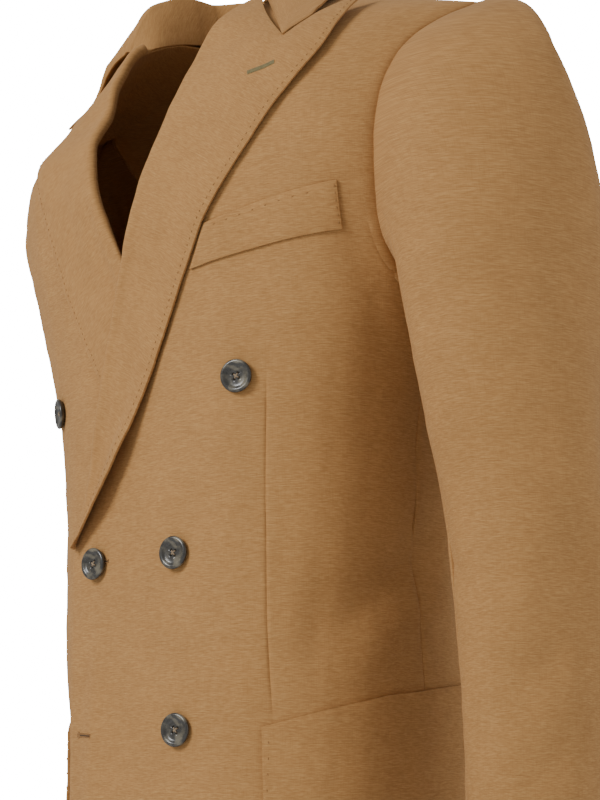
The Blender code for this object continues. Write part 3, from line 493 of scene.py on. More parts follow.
def figure_normal(bearing, height):
    """Outward direction of the figure."""
    step, rise = 0.3, 0.001
    around = figure(bearing + step, height) - figure(bearing - step, height)
    up = figure(bearing, height + rise) - figure(bearing, height - rise)
    return unit(np.cross(around, up))


def bearing_at(across, height):
    """Bearing of the front point at a distance from the centre."""
    half_width = through(FIGURE, height)[..., 0]
    share = np.clip(np.abs(across) / half_width, 0.0, 1.0)
    return np.degrees(np.sign(across) * np.arcsin(share ** (ROUNDNESS / 2.0)))


def depth_below_ridge(bearing, height):
    """Distance down the cloth from the shoulder seam, measured round the cap."""
    point = figure(bearing, height)
    cap = np.where(np.cos(np.radians(bearing)) > 0, FRONT_CAP, BACK_CAP)
    drop = ridge(point[..., 0]) - height
    round_part = cap * np.arccos(np.clip(1.0 - drop / cap, 0.0, 1.0))
    return np.where(drop < cap, round_part, cap * math.pi / 2 + drop - cap)


def height_at_depth(bearing, depth):
    """Height of a point that lies a distance down the cloth from the shoulder seam."""
    cap = np.where(np.cos(np.radians(bearing)) > 0, FRONT_CAP, BACK_CAP)
    quarter = cap * math.pi / 2
    drop = np.where(depth < quarter, cap * (1.0 - np.cos(np.minimum(depth / cap, math.pi / 2))),
                    cap + depth - quarter)
    height = -drop
    for _ in range(4):
        half_width = through(FIGURE, height)[..., 0]
        across = half_width * np.abs(np.sin(np.radians(bearing))) ** (2.0 / ROUNDNESS)
        height = ridge(across) - drop
    return height


# ================================ nets =============================================================
def other_side(grid):
    """The same grid on the wearer's other side."""
    return grid * np.array([-1.0, 1.0, 1.0])


def inset(grid, sides, gap=SEAM_GAP):
    """Draw the named outer rows or columns of a grid in by half a gap."""
    grid = grid.copy()
    lines = {"first_row": (grid[0], grid[1]), "last_row": (grid[-1], grid[-2]),
             "first_column": (grid[:, 0], grid[:, 1]), "last_column": (grid[:, -1], grid[:, -2])}
    for side in sides:
        edge, neighbour = lines[side]
        edge += unit(neighbour - edge) * gap / 2
    return grid


def patch(bottom, top, left, right, share, fade=1.0):
    """Fill a four sided outline given in bearing and depth (each line is points by two).

    The bottom and top lines are points at the shares across. A fade over 1 keeps the bends of the
    top line near the top.
    """
    u = share[None, :, None]
    v = np.linspace(0, 1, len(left))[:, None, None]
    bottom_bend = bottom[None] - (1 - u) * bottom[0] - u * bottom[-1]
    top_bend = top[None] - (1 - u) * top[0] - u * top[-1]
    return (1 - u) * left[:, None] + u * right[:, None] + (1 - v) * bottom_bend + v**fade * top_bend


def flat_outline(bearing, height):
    return np.stack([bearing, depth_below_ridge(bearing, height)], axis=-1)


def net_normals(grid):
    """Directions square to a net, towards the side from which its columns run right and rows up."""
    across = np.gradient(grid, axis=1)
    up = np.gradient(grid, axis=0)
    return unit(np.cross(across, up))


def arcs(grid, axis):
    """Distance from the first line of a net, measured along the cloth."""
    steps = np.linalg.norm(np.diff(grid, axis=axis), axis=-1)
    start = np.zeros_like(np.take(steps, [0], axis=axis))
    return np.concatenate([start, np.cumsum(steps, axis=axis)], axis=axis)


def refine(net, sides):
    """Add close lines to a net beside the named sides. A net may carry more values than x, y, z."""
    for axis, first, last in ((0, "first_row", "last_row"), (1, "first_column", "last_column")):
        reach = arcs(net[..., :3], axis).mean(axis=1 - axis)
        places = list(reach)
        for name, edge, sign in ((first, 0.0, 1.0), (last, reach[-1], -1.0)):
            if name not in sides:
                continue
            outer = EDGE_LINES[-1] + 0.0008
            places = [p for p in places if abs(p - edge) > outer or p == edge]
            places += [edge + sign * line for line in EDGE_LINES]
        places = np.sort(np.array(places))
        cell = np.clip(np.searchsorted(reach, places, side="right") - 1, 0, len(reach) - 2)
        part = (places - reach[cell]) / (reach[cell + 1] - reach[cell])
        low, high = np.take(net, cell, axis=axis), np.take(net, cell + 1, axis=axis)
        shape = [1, 1, 1]
        shape[axis] = len(part)
        net = low + part.reshape(shape) * (high - low)
    return net


def seam_dips(grid, sides):
    """Hollow beside the seams on the named sides."""
    away = {"first_row": arcs(grid, 0), "last_row": arcs(grid[::-1], 0)[::-1],
            "first_column": arcs(grid, 1), "last_column": arcs(grid[:, ::-1], 1)[:, ::-1]}
    dip = np.zeros(grid.shape[:2])
    for side in sides:
        dip = np.minimum(dip, -SEAM_DIP * np.exp(-(away[side] / SEAM_SPREAD) ** 2))
    return dip


def creases(along, up, table):
    """Height of the listed creases at places of the cloth."""
    total = np.zeros(np.shape(along))
    for start, low, end, high, width, height, bow in table:
        run, rise = end - start, high - low
        length = math.hypot(run, rise)
        t = ((along - start) * run + (up - low) * rise) / length**2
        away = ((along - start) * rise - (up - low) * run) / length
        inside = np.clip(t, 0.0, 1.0)
        away = away - bow * 4.0 * inside * (1.0 - inside)
        spread = width * (0.75 + 0.55 * inside)
        ends = smooth((t + 0.10) / 0.40) * smooth((1.10 - t) / 0.45)
        total += height * ends * np.exp(-(away / spread) ** 2)
    return total


def ripple(along, up, phase):
    """Faint unevenness of pressed cloth."""
    total = np.zeros(np.shape(along))
    for k, (wide, tall, lean, share) in enumerate(RIPPLE_WAVES):
        turn = 2 * math.pi * (along / wide + up / tall) + lean * np.sin(2 * math.pi * up / (1.7 * tall))
        total += share * np.sin(turn + phase * (k + 1)) * np.cos(2 * math.pi * (up / wide - along / tall)
                                                                  + phase * 1.7)
    return RIPPLE * total


def pressed(net, seams, crease_table, phase, side=1.0):
    """Net with its creases, ripple and seams pressed in. Its last two values are along and up."""
    net = refine(net, seams)
    grid, along, up = net[..., :3], net[..., 3], net[..., 4]
    height = creases(along, up, crease_table) + ripple(along, up, phase) + seam_dips(grid, seams)
    moved = net.copy()
    moved[..., :3] = grid + side * height[..., None] * net_normals(grid)
    return moved


def with_plan(grid, along, up):
    """Net of points that also carries the distance along and up the cloth."""
    return np.concatenate([grid, along[..., None], up[..., None]], axis=-1)


# ================================ outlines that pieces share =====================================
def armhole_loop():
    """Bearing and height of the points round the left armhole, from the shoulder down the front."""
    shoulder_across = through(FIGURE, ridge(FIGURE[-2][1]))[..., 0]
    shoulder = (90.0, float(ridge(shoulder_across)))
    table = ((0.0, *shoulder),) + ARMHOLE + ((1.0, *shoulder),)
    return through(table, np.arange(LOOP_POINTS + 1) / LOOP_POINTS)


def side_seam(column, top_height):
    """Bearing and height up one of the side seams (column 0 on the front, 1 on the back)."""
    heights = np.linspace(HEM, top_height, BODY_ROWS + 1)
    return np.stack([through(SIDE_SEAMS, heights)[:, column], heights], axis=-1)


def back_neck(share):
    """Bearing and depth of the back neck seam, from the shoulder seam (0) to the centre back (1)."""
    side_bearing = 180.0 - bearing_at(NECK_SIDE, ridge(NECK_SIDE))
    middle_depth = depth_below_ridge(180.0, BACK_NECK_RISE)
    bearing = side_bearing + np.asarray(share) * (180.0 - side_bearing)
    return np.stack([bearing, middle_depth * np.asarray(share) ** 0.7], axis=-1)


def front_inner_heights():
    """Heights of the front panel's rows at its inner edge."""
    below = np.linspace(HEM, ARMHOLE[3][2], BODY_ROWS + 1)
    above = np.linspace(ARMHOLE[3][2], 0.0, LOOP_SIDE + 1)[1:]
    return np.concatenate([below, above])


def roll_across(height):
    """Distance from the centre to the roll line, or to the front edge under the break."""
    rolled = through(ROLL_LINE, height)[..., 0]
    return np.where(height < BREAK_HEIGHT, -FRONT_EDGE, rolled)


def drape(bearing, height):
    """Soft slanting hollow that runs from over the hip pocket up to the side."""
    along = (bearing - 50.0) / 45.0
    line = -0.505 + 0.055 * along
    across_fold = np.exp(-((height - line) / 0.034) ** 2)
    return -DRAPE_DEPTH * across_fold * smooth(along / 0.3) * smooth((1.35 - along) / 0.35)


def neck_hollow(across, height):
    """Both fronts fall in beside the neck, most along the roll line."""
    return -NECK_HOLLOW * (smooth((0.125 - across) / 0.060) * smooth((-0.046 - height) / 0.030)
                           * smooth((height + 0.165) / 0.070))


def left_lift(across, height):
    """How far the left front stands off the figure, over the right front and its lapel."""
    over = smooth((0.135 - across) / 0.045) * smooth((-0.145 - height) / 0.065)
    edge = smooth((0.035 - across) / 0.110) * smooth((-0.370 - height) / 0.060)
    return OVERLAP_LIFT * over + EDGE_STAND * edge + neck_hollow(across, height)


def right_lift(across, height):
    """The right front lies on the figure, and further in below the shoulder and over the hip."""
    shoulder = (smooth((-0.020 - height) / 0.030) * smooth((height + 0.125) / 0.045)
                * smooth((0.204 - across) / 0.038))
    hip = (smooth((across - 0.050) / 0.050) * smooth((0.158 - across) / 0.030)
           * smooth((-0.500 - height) / 0.080))
    return neck_hollow(across, height) - RIGHT_HOLLOW * shoulder - RIGHT_HIP_HOLLOW * hip


def chest_point(across, height, offset):
    """Point over the front of the figure, moved out by an offset."""
    bearing = bearing_at(across, height)
    return figure(bearing, height) + np.asarray(offset)[..., None] * figure_normal(bearing, height)


# ================================ body panels ====================================================
def girth_to(bearing, height):
    """Distance round the figure from the centre front to a bearing."""
    steps = np.linspace(0, 1, 33)
    points = figure(np.asarray(bearing)[..., None] * steps, np.asarray(height)[..., None])
    return np.linalg.norm(np.diff(points, axis=-2), axis=-1).sum(axis=-1)


def level(height, cap):
    """Height as the cloth's own length, which goes on over the shoulder."""
    drop = np.maximum(-height, 0.0)
    return np.where(drop < cap, -cap * np.arccos(np.clip(1.0 - drop / cap, 0.0, 1.0)),
                    -(cap * math.pi / 2 + drop - cap))


def front_shares():
    """Columns of the front panel, with close ones at the dart."""
    even = np.linspace(0, 1, FRONT_COLUMNS + 1)
    width = CUTS["front"][0]
    near = DART_SHARE + np.array(DART_LINES) / width
    far = even[np.abs(even - DART_SHARE) > (DART_LINES[-1] + 0.0020) / width]
    return np.sort(np.concatenate([near, far]))


def front_net(lift, crease_table, phase):
    """Left front with its dart, creases and seams; the right one is the same cut."""
    loop = armhole_loop()
    inner_height = front_inner_heights()
    inner_height[-1] = ridge(NECK_SIDE)
    inner_across = roll_across(inner_height)
    inner_across[-1] = NECK_SIDE
    left = flat_outline(bearing_at(inner_across, inner_height), inner_height)
    left[-1, 1] = 0.0
    seam = side_seam(0, ARMHOLE[3][2])
    right = np.vstack([seam[:-1], loop[LOOP_SIDE::-1]])
    right = flat_outline(right[:, 0], right[:, 1])
    right[-1] = (90.0, 0.0)
    share = front_shares()
    hem_bearing = left[0, 0] + share * (right[0, 0] - left[0, 0])
    bottom = flat_outline(hem_bearing, np.full(len(share), HEM))
    top = left[-1] + share[:, None] * (right[-1] - left[-1])
    plan = patch(bottom, top, left, right, share)
    bearing, depth = plan[..., 0], np.maximum(plan[..., 1], 0.0)
    height = height_at_depth(bearing, depth)
    height[0] = HEM
    dart_column = int(np.argmin(np.abs(share - DART_SHARE)))
    dart_height = height[:, dart_column]
    dart_bearing = bearing_at(through(DART, dart_height)[:, 0], dart_height)
    near_dart = (smooth((dart_height - DART[0][0] + 0.12) / 0.10)
                 * smooth((DART[-1][0] + 0.12 - dart_height) / 0.10))
    pull = (dart_bearing - bearing[:, dart_column]) * near_dart
    bearing = bearing + pull[:, None] * np.exp(-((share - DART_SHARE) / 0.16) ** 2)
    height = height_at_depth(bearing, depth)
    height[0] = HEM
    across = figure(bearing, height)[..., 0]
    offset = lift(across, height) + drape(bearing, height)
    grid = figure(bearing, height)
    moved = offset[..., None] * figure_normal(bearing, np.minimum(height, -0.06))
    grid = grid + np.where((offset != 0.0)[..., None], moved, 0.0)
    grid = inset(inset(grid, ("first_column", "last_column")), ("last_row",), BENT_GAP)
    start = np.sign(bearing[:, :1]) * girth_to(bearing[:, :1], height[:, :1])
    along = start + arcs(grid, 1)
    dart_away = along - along[:, dart_column:dart_column + 1]
    in_dart = smooth((height - DART[0][0]) / 0.02) * smooth((DART[-1][0] - height) / 0.035)
    groove = -DART_DEPTH * np.exp(-(dart_away / DART_WIDTH) ** 2) * in_dart
    grid = grid + groove[..., None] * net_normals(grid)
    return pressed(with_plan(grid, along, height), ("last_column", "last_row"), crease_table, phase)


def side_net(crease_table, phase):
    loop = armhole_loop()
    front = side_seam(0, ARMHOLE[3][2])
    back = side_seam(1, loop[LOOP_BACK, 1])
    front[-1], back[-1] = loop[LOOP_SIDE], loop[LOOP_BACK]
    share = np.linspace(0, 1, SIDE_COLUMNS + 1)
    bottom = front[0] + share[:, None] * (back[0] - front[0])
    top = loop[LOOP_SIDE:LOOP_BACK + 1]
    plan = patch(bottom, top, front, back, share)
    bearing, height = plan[..., 0], plan[..., 1]
    grid = figure(bearing, height)
    grid += drape(bearing, height)[..., None] * figure_normal(bearing, height)
    grid = inset(grid, ("first_column", "last_column", "last_row"))
    along = girth_to(bearing[:, :1], height[:, :1]) + arcs(grid, 1)
    seams = ("first_column", "last_column", "last_row")
    return pressed(with_plan(grid, along, height), seams, crease_table, phase)


def back_net(crease_table, phase):
    loop = armhole_loop()
    seam = side_seam(1, loop[LOOP_BACK, 1])
    seam[-1] = loop[LOOP_BACK]
    side = np.vstack([seam[:-1], loop[LOOP_BACK:]])
    side = flat_outline(side[:, 0], side[:, 1])
    side[-1] = (90.0, 0.0)
    rows = len(side)
    share = np.linspace(0, 1, BACK_COLUMNS + 1)
    middle_height = np.linspace(HEM, BACK_NECK_RISE, rows)
    middle = flat_outline(np.full(rows, 180.0), middle_height)
    bottom_bearing = 180.0 + share * (side[0, 0] - 180.0)
    bottom = flat_outline(bottom_bearing, np.full(BACK_COLUMNS + 1, HEM))
    shoulder_steps = BACK_COLUMNS - BACK_NECK_STEPS
    neck = back_neck(np.linspace(1, 0, BACK_NECK_STEPS + 1))
    shoulder_bearing = neck[-1, 0] + np.linspace(0, 1, shoulder_steps + 1)[1:] * (90.0 - neck[-1, 0])
    shoulder = np.stack([shoulder_bearing, np.zeros(shoulder_steps)], axis=-1)
    top = np.vstack([neck, shoulder])
    plan = patch(bottom, top, middle, side, share, BACK_NECK_FADE)
    bearing, depth = plan[..., 0], np.maximum(plan[..., 1], 0.0)
    height = height_at_depth(bearing, depth)
    height[0] = HEM
    grid = inset(figure(bearing, height), ("last_column",))
    grid = inset(grid, ("first_column", "last_row"), BENT_GAP)
    seams = ("first_column", "last_column", "last_row")
    return pressed(with_plan(grid, arcs(grid, 1), height), seams, crease_table, phase, -1.0)


# ================================ lapels =========================================================
def lapel_net(lift, outline, roll_radius, edge_lift, peak_lift, phase):
    """Lapel from its foot to the gorge: round the fold, then out over the front."""
    rise = np.linspace(0, 1, LAPEL_ROWS + 1)
    roll_height = LAPEL_FOOT + rise * (LAPEL_HEAD - LAPEL_FOOT)
    roll = np.stack([roll_across(roll_height), roll_height], axis=-1)
    edge_height = LAPEL_FOOT + rise * (PEAK_TIP[1] - LAPEL_FOOT)
    edge = np.stack([through(outline, edge_height)[:, 0], edge_height], axis=-1)
    share = np.linspace(0, 1, LAPEL_COLUMNS + 1)
    notch, peak = np.array(GORGE_NOTCH), np.array(PEAK_TIP)
    to_notch = np.linspace(0, 1, LAPEL_NOTCH + 1)[:, None]
    to_peak = np.linspace(0, 1, LAPEL_COLUMNS - LAPEL_NOTCH + 1)[1:, None]
    gorge = np.vstack([roll[-1] + to_notch * (notch - roll[-1]), notch + to_peak * (peak - notch)])
    rows = []
    for r, t in enumerate(rise):
        straight = roll[r] + share[:, None] * (edge[r] - roll[r])
        bend = float(smooth((t - 0.62) / 0.38)) ** 2
        head = gorge - gorge[0] - share[:, None] * (gorge[-1] - gorge[0])
        flat = straight + bend * head
        radius = roll_radius(roll_height[r])
        flat_near = LAYER + LAPEL_EASE * smooth(share * 3.0)
        near = flat_near + (2.0 * radius - LAYER) * (1.0 - smooth(share * 1.6))
        stand = edge_lift(t) + peak_lift * float(smooth((t - 0.72) / 0.28))
        offset = lift(flat[:, 0], flat[:, 1]) + near + stand * smooth(share) ** 2
        over = chest_point(flat[:, 0], flat[:, 1], offset)
        seam = chest_point(roll[r, 0], roll[r, 1], lift(roll[r, 0], roll[r, 1]))
        normal = unit(over[0] - seam)
        along = unit(chest_point(roll[r, 0] + 0.001, roll[r, 1], 0.0)
                     - chest_point(roll[r, 0] - 0.001, roll[r, 1], 0.0))
        outward = -unit(along - normal * (along @ normal))
        turns = np.linspace(-math.pi / 2, math.pi / 2, FOLD_STEPS + 1)[:-1]
        fold = [seam + normal * (radius + radius * math.sin(a))
                + outward * (FOLD_GAP + radius * math.cos(a)) for a in turns]
        rows.append(np.vstack([np.array(fold), over]))
    grid = inset(np.array(rows), ("last_row",))
    net = with_plan(grid, arcs(grid, 1), arcs(grid, 0))
    return pressed(net, ("last_row", "last_column"), LAPEL_CREASES, phase)


def left_roll_radius(height):
    return ROLL_RADIUS * (0.45 + 0.55 * float(smooth((height + 0.42) / 0.08)))


def right_roll_radius(height):
    """Full fold where it is free, pressed flat under the left front."""
    return FLAT_RADIUS + (ROLL_RADIUS - FLAT_RADIUS) * float(smooth((height + 0.215) / 0.05))


def left_edge_lift(t):
    return EDGE_LIFT + LAPEL_LIFT * math.exp(-((t - 0.12) / 0.12) ** 2)


def right_edge_lift(t):
    return 0.0


# ================================ collar =========================================================
def cap_height(across, behind):
    """Height of the figure's shoulder over a place in plan."""
    height = ridge(across)
    for _ in range(5):
        half_width, front, back = np.moveaxis(through(FIGURE, height), -1, 0)
        share = np.clip(np.abs(across) / half_width, 0.0, 0.999)
        narrowing = (1.0 - share ** ROUNDNESS) ** (1.0 / ROUNDNESS)
        in_front = behind < SHOULDER_SET
        reach = np.where(in_front, -front, back) * narrowing - SHOULDER_SET
        opened = np.clip((behind - SHOULDER_SET) / reach, 0.0, 0.98)
        cap = np.where(in_front, FRONT_CAP, BACK_CAP)
        height = ridge(across) - cap * (1.0 - np.sqrt(1.0 - opened**2))
    return height


def neck_seam():
    """Points of the neck seam on the panels' edges, from the gorge to the centre back."""
    front_height = np.linspace(LAPEL_HEAD, ridge(NECK_SIDE), COLLAR_FRONT_STEPS + 1)
    front_across = roll_across(front_height)
    front_across[-1] = NECK_SIDE
    front = figure(bearing_at(front_across, front_height), front_height)
    back = back_neck(np.linspace(0, 1, COLLAR_BACK_STEPS + 1)[1:])
    back = figure(back[:, 0], height_at_depth(back[:, 0], back[:, 1]))
    return np.vstack([front, back])


def collar_half(lean):
    """Stand, crest and fall of the left half, from the gorge to the centre back."""
    seam = neck_seam()
    turn = np.linspace(0, 1, len(seam))
    inward = unit(-seam * np.array([1.0, 1.0, 0.0]) + np.array([0.0, 0.010, 0.0]))
    seam = seam + inward * (0.5 * WALL + SEAM_GAP) + np.array([0.0, 0.0, 0.5 * WALL + SEAM_GAP])
    crest_shape = through(COLLAR_CREST, turn)
    crest = seam + inward * crest_shape[:, :1] + np.array([0.0, 0.0, 1.0]) * crest_shape[:, 1:]
    plan = through(COLLAR_EDGE, turn)
    edge_height = cap_height(plan[:, 0], plan[:, 1]) + COLLAR_CLEARANCE
    edge = np.column_stack([plan, edge_height])
    share = np.linspace(0, 1, COLLAR_FALL_COLUMNS + 1)[:, None]
    notch = chest_point(np.array(GORGE_NOTCH[0]), GORGE_NOTCH[1], np.array(COLLAR_CLEARANCE))
    half = []
    for k, t in enumerate(turn):
        outward = unit((edge[k] - crest[k]) * np.array([1.0, 1.0, 0.0]))
        bends = np.linspace(0, math.pi, CREST_STEPS + 1)[1:-1, None]
        top = (crest[k] + outward * COLLAR_FOLD * (1.0 - np.cos(bends))
               + np.array([0.0, 0.0, 0.6 * COLLAR_FOLD]) * np.sin(bends))
        over = crest[k] + outward * 2.0 * COLLAR_FOLD
        out = outward * lean * (1.0 - smooth(t / 0.85))
        up = np.linspace(0, 1, STAND_STEPS + 1)[:, None]
        stand = seam[k] + (crest[k] - seam[k]) * up
        fall = over + share * (edge[k] - over)
        fall[:, 2] -= (COLLAR_SAG * np.sin(math.pi * share) * smooth(t / 0.4))[:, 0]
        bend = float(1.0 - smooth(t / 0.22)) ** 2
        corner = COLLAR_NOTCH / COLLAR_FALL_COLUMNS
        kink = np.interp(share[:, 0], [0, corner, 1], [0, 1, 0])
        straight = over + corner * (edge[k] - over)
        fall += bend * kink[:, None] * (notch - straight)
        stand = stand + up * out
        fall += (1.0 - smooth(share / corner)) * out
        half.append(np.vstack([stand, top + out, fall]))
    return np.array(half)


def collar_net():
    """The whole collar; its right half follows the right front."""
    right = collar_half(RIGHT_COLLAR_LEAN)
    in_front = smooth((SHOULDER_SET - right[..., 1]) / 0.030)
    sunk = right_lift(right[..., 0], right[..., 2]) * in_front
    bearing = bearing_at(right[..., 0], np.minimum(right[..., 2], -0.030))
    right += sunk[..., None] * figure_normal(bearing, np.minimum(right[..., 2], -0.030))
    whole = np.concatenate([collar_half(0.0), other_side(right[:-1])[::-1]])
    grid = inset(whole, ("first_row", "last_row"))
    net = with_plan(grid, arcs(grid, 1), arcs(grid, 0))
    return pressed(net, ("first_row", "last_row", "last_column"), (), 0.7)


# ================================ sleeves ========================================================
def sleeve_ring(row, turns):
    """One ring of the left sleeve from a row of the arm table."""
    height, centre_x, centre_y, half_across, half_deep, rise = row
    angle = 2 * math.pi * turns
    return np.stack([centre_x + half_across * np.cos(angle), centre_y - half_deep * np.sin(angle),
                     height + rise * np.cos(angle)], axis=-1)


def sleeve_net(table, reach, first, last, crease_table, phase):
    """Sleeve between two seam points of the armhole, from the armhole to the cuff."""
    points = np.arange(first, last + 1)
    loop = armhole_loop()[points % LOOP_POINTS]
    turns = points / LOOP_POINTS
    biceps = sleeve_ring(table[0], turns)
    below = sleeve_ring(table[1], turns)
    upper = (0.5 + 0.5 * np.cos(2 * math.pi * turns))[:, None]
    clear = SLEEVE_START_UNDER + upper * (SLEEVE_START - SLEEVE_START_UNDER)
    seam = figure(loop[:, 0], loop[:, 1]) + clear * np.array([1.0, 0.0, 0.0])
    leave = np.array([CAP_UNDER, 0.0, 0.0]) + upper * np.array([reach, 0.0, CAP_RISE])
    forward = np.maximum(np.sin(2 * math.pi * turns), 0.0)[:, None]
    leave = leave - forward * np.array([0.0, CAP_FORWARD, 0.0])
    arrive = unit(below - biceps) * (CAP_FALL_UNDER + CAP_FALL * upper)
    rows = []
    for t in np.linspace(0, 1, CAP_ROWS + 1):
        rows.append((2 * t**3 - 3 * t**2 + 1) * seam + (t**3 - 2 * t**2 + t) * leave
                    + (3 * t**2 - 2 * t**3) * biceps + (t**3 - t**2) * arrive)
    for height in np.linspace(table[0][0], table[-1][0], ARM_ROWS + 1)[1:]:
        rows.append(sleeve_ring((height, *through(table, height)), turns))
    grid = inset(np.array(rows), ("first_column", "last_column"), 2.0 * SEAM_GAP)
    along = np.broadcast_to(turns * SLEEVE_ROUND, grid.shape[:2])
    net = with_plan(grid, along, grid[..., 2])
    return pressed(net, ("first_row", "first_column", "last_column"), crease_table, phase)


# ================================ pockets, welt and buttons =======================================
def hip_pocket_net(lift, crease_table, phase):
    """Patch pocket: on the front and over the side seam."""
    share = np.linspace(0, 1, POCKET_COLUMNS + 1)
    bearing = POCKET_TOP[0][0] + share * (POCKET_TOP[-1][0] - POCKET_TOP[0][0])
    mouth = through(POCKET_TOP, bearing)[:, 0]
    side = np.minimum(share, 1 - share) * POCKET_WIDTH
    corner = POCKET_CORNER - np.sqrt(np.maximum(
        POCKET_CORNER**2 - np.maximum(POCKET_CORNER - side, 0.0)**2, 0.0))
    foot = POCKET_FOOT + corner
    down = np.linspace(0, 1, POCKET_ROWS + 1)[:, None]
    height = mouth + down * (foot - mouth)
    bearings = np.broadcast_to(bearing, height.shape)
    across = figure(np.minimum(bearings, 90.0), height)[..., 0]
    offset = lift(across, height) + LAYER + drape(bearings, height)
    grid = figure(bearings, height) + offset[..., None] * figure_normal(bearings, height)
    start = girth_to(bearings[:, :1], height[:, :1])
    net = with_plan(grid, start + arcs(grid, 1), height)
    return pressed(net, ALL_SIDES, crease_table, phase, -1.0)


def welt_net():
    share = np.linspace(0, 1, WELT_COLUMNS + 1)[None, :, None]
    down = np.linspace(0, 1, WELT_ROWS + 1)[:, None, None]
    top = np.array(WELT_TOP[0]) + share * (np.array(WELT_TOP[1]) - np.array(WELT_TOP[0]))
    foot = np.array(WELT_FOOT[0]) + share * (np.array(WELT_FOOT[1]) - np.array(WELT_FOOT[0]))
    flat = top + down * (foot - top)
    grid = chest_point(flat[..., 0], flat[..., 1], left_lift(flat[..., 0], flat[..., 1]) + LAYER)
    start = girth_to(bearing_at(flat[:, :1, 0], flat[:, :1, 1]), flat[:, :1, 1])
    net = with_plan(grid, start + arcs(grid, 1), flat[..., 1])
    return pressed(net, ALL_SIDES, LEFT_FRONT_CREASES, LEFT_PHASE, -1.0)


# ================================ colours and finishes ===========================================
def node(tree, kind, **settings):
    made = tree.nodes.new(kind)
    for name, value in settings.items():
        setattr(made, name, value)
    return made


def new_group(name, inputs, outputs):
    """Empty node group with named inputs and outputs, its two ends, and its tree."""
    tree = bpy.data.node_groups.new(name, "ShaderNodeTree")
    for label, kind, default in inputs:
        socket = tree.interface.new_socket(name=label, in_out="INPUT", socket_type=kind)
        if default is not None:
            socket.default_value = default
    for label, kind in outputs:
        tree.interface.new_socket(name=label, in_out="OUTPUT", socket_type=kind)
    return tree, tree.nodes.new("NodeGroupInput"), tree.nodes.new("NodeGroupOutput")


def join(tree, source, target):
    tree.links.new(source, target)


def maths(tree, operation, first, second=None, clamp=False):
    """Math node whose inputs are sockets or numbers."""
    made = node(tree, "ShaderNodeMath", operation=operation, use_clamp=clamp)
    for socket, value in zip(made.inputs, (first, second)):
        if value is None:
            continue
        if isinstance(value, (int, float)):
            socket.default_value = value
        else:
            join(tree, value, socket)
    return made.outputs[0]


def scaled_place(tree, place, scale_along, scale_up, shift):
    """Place on the cloth, scaled along and up, and moved so that two patterns never agree."""
    split = node(tree, "ShaderNodeSeparateXYZ")
    join(tree, place, split.inputs[0])
    made = node(tree, "ShaderNodeCombineXYZ")
    join(tree, maths(tree, "MULTIPLY", split.outputs[0], scale_along), made.inputs[0])
    join(tree, maths(tree, "MULTIPLY", split.outputs[1], scale_up), made.inputs[1])
    made.inputs[2].default_value = shift
    return made.outputs[0]


def speckle(tree, place, scale, detail, roughness=0.5):
    made = node(tree, "ShaderNodeTexNoise", noise_dimensions="3D")
    join(tree, place, made.inputs["Vector"])
    made.inputs["Scale"].default_value = scale
    made.inputs["Detail"].default_value = detail
    made.inputs["Roughness"].default_value = roughness
    return made.outputs["Fac"]


def spread(tree, value, low, high, out_low=0.0, out_high=1.0):
    made = node(tree, "ShaderNodeMapRange", clamp=True)
    made.inputs["From Min"].default_value = low
    made.inputs["From Max"].default_value = high
    made.inputs["To Min"].default_value = out_low
    made.inputs["To Max"].default_value = out_high
    join(tree, value, made.inputs["Value"])
    return made.outputs["Result"]


def blend(tree, share, first, second, kind="MIX"):
    made = node(tree, "ShaderNodeMix", data_type="RGBA", blend_type=kind)
    join(tree, share, made.inputs["Factor"])
    join(tree, first, made.inputs["A"])
    join(tree, second, made.inputs["B"])
    return made.outputs["Result"]


def slub_streaks(tree, place, seed, soft_edge, full_edge):
    """Mask of long thin streaks that lie along the weft."""
    stretched = scaled_place(tree, place, 1 / SLUB_LONG, 1 / SLUB_THIN, seed)
    return spread(tree, speckle(tree, stretched, 1.0, 2.5), soft_edge, full_edge)


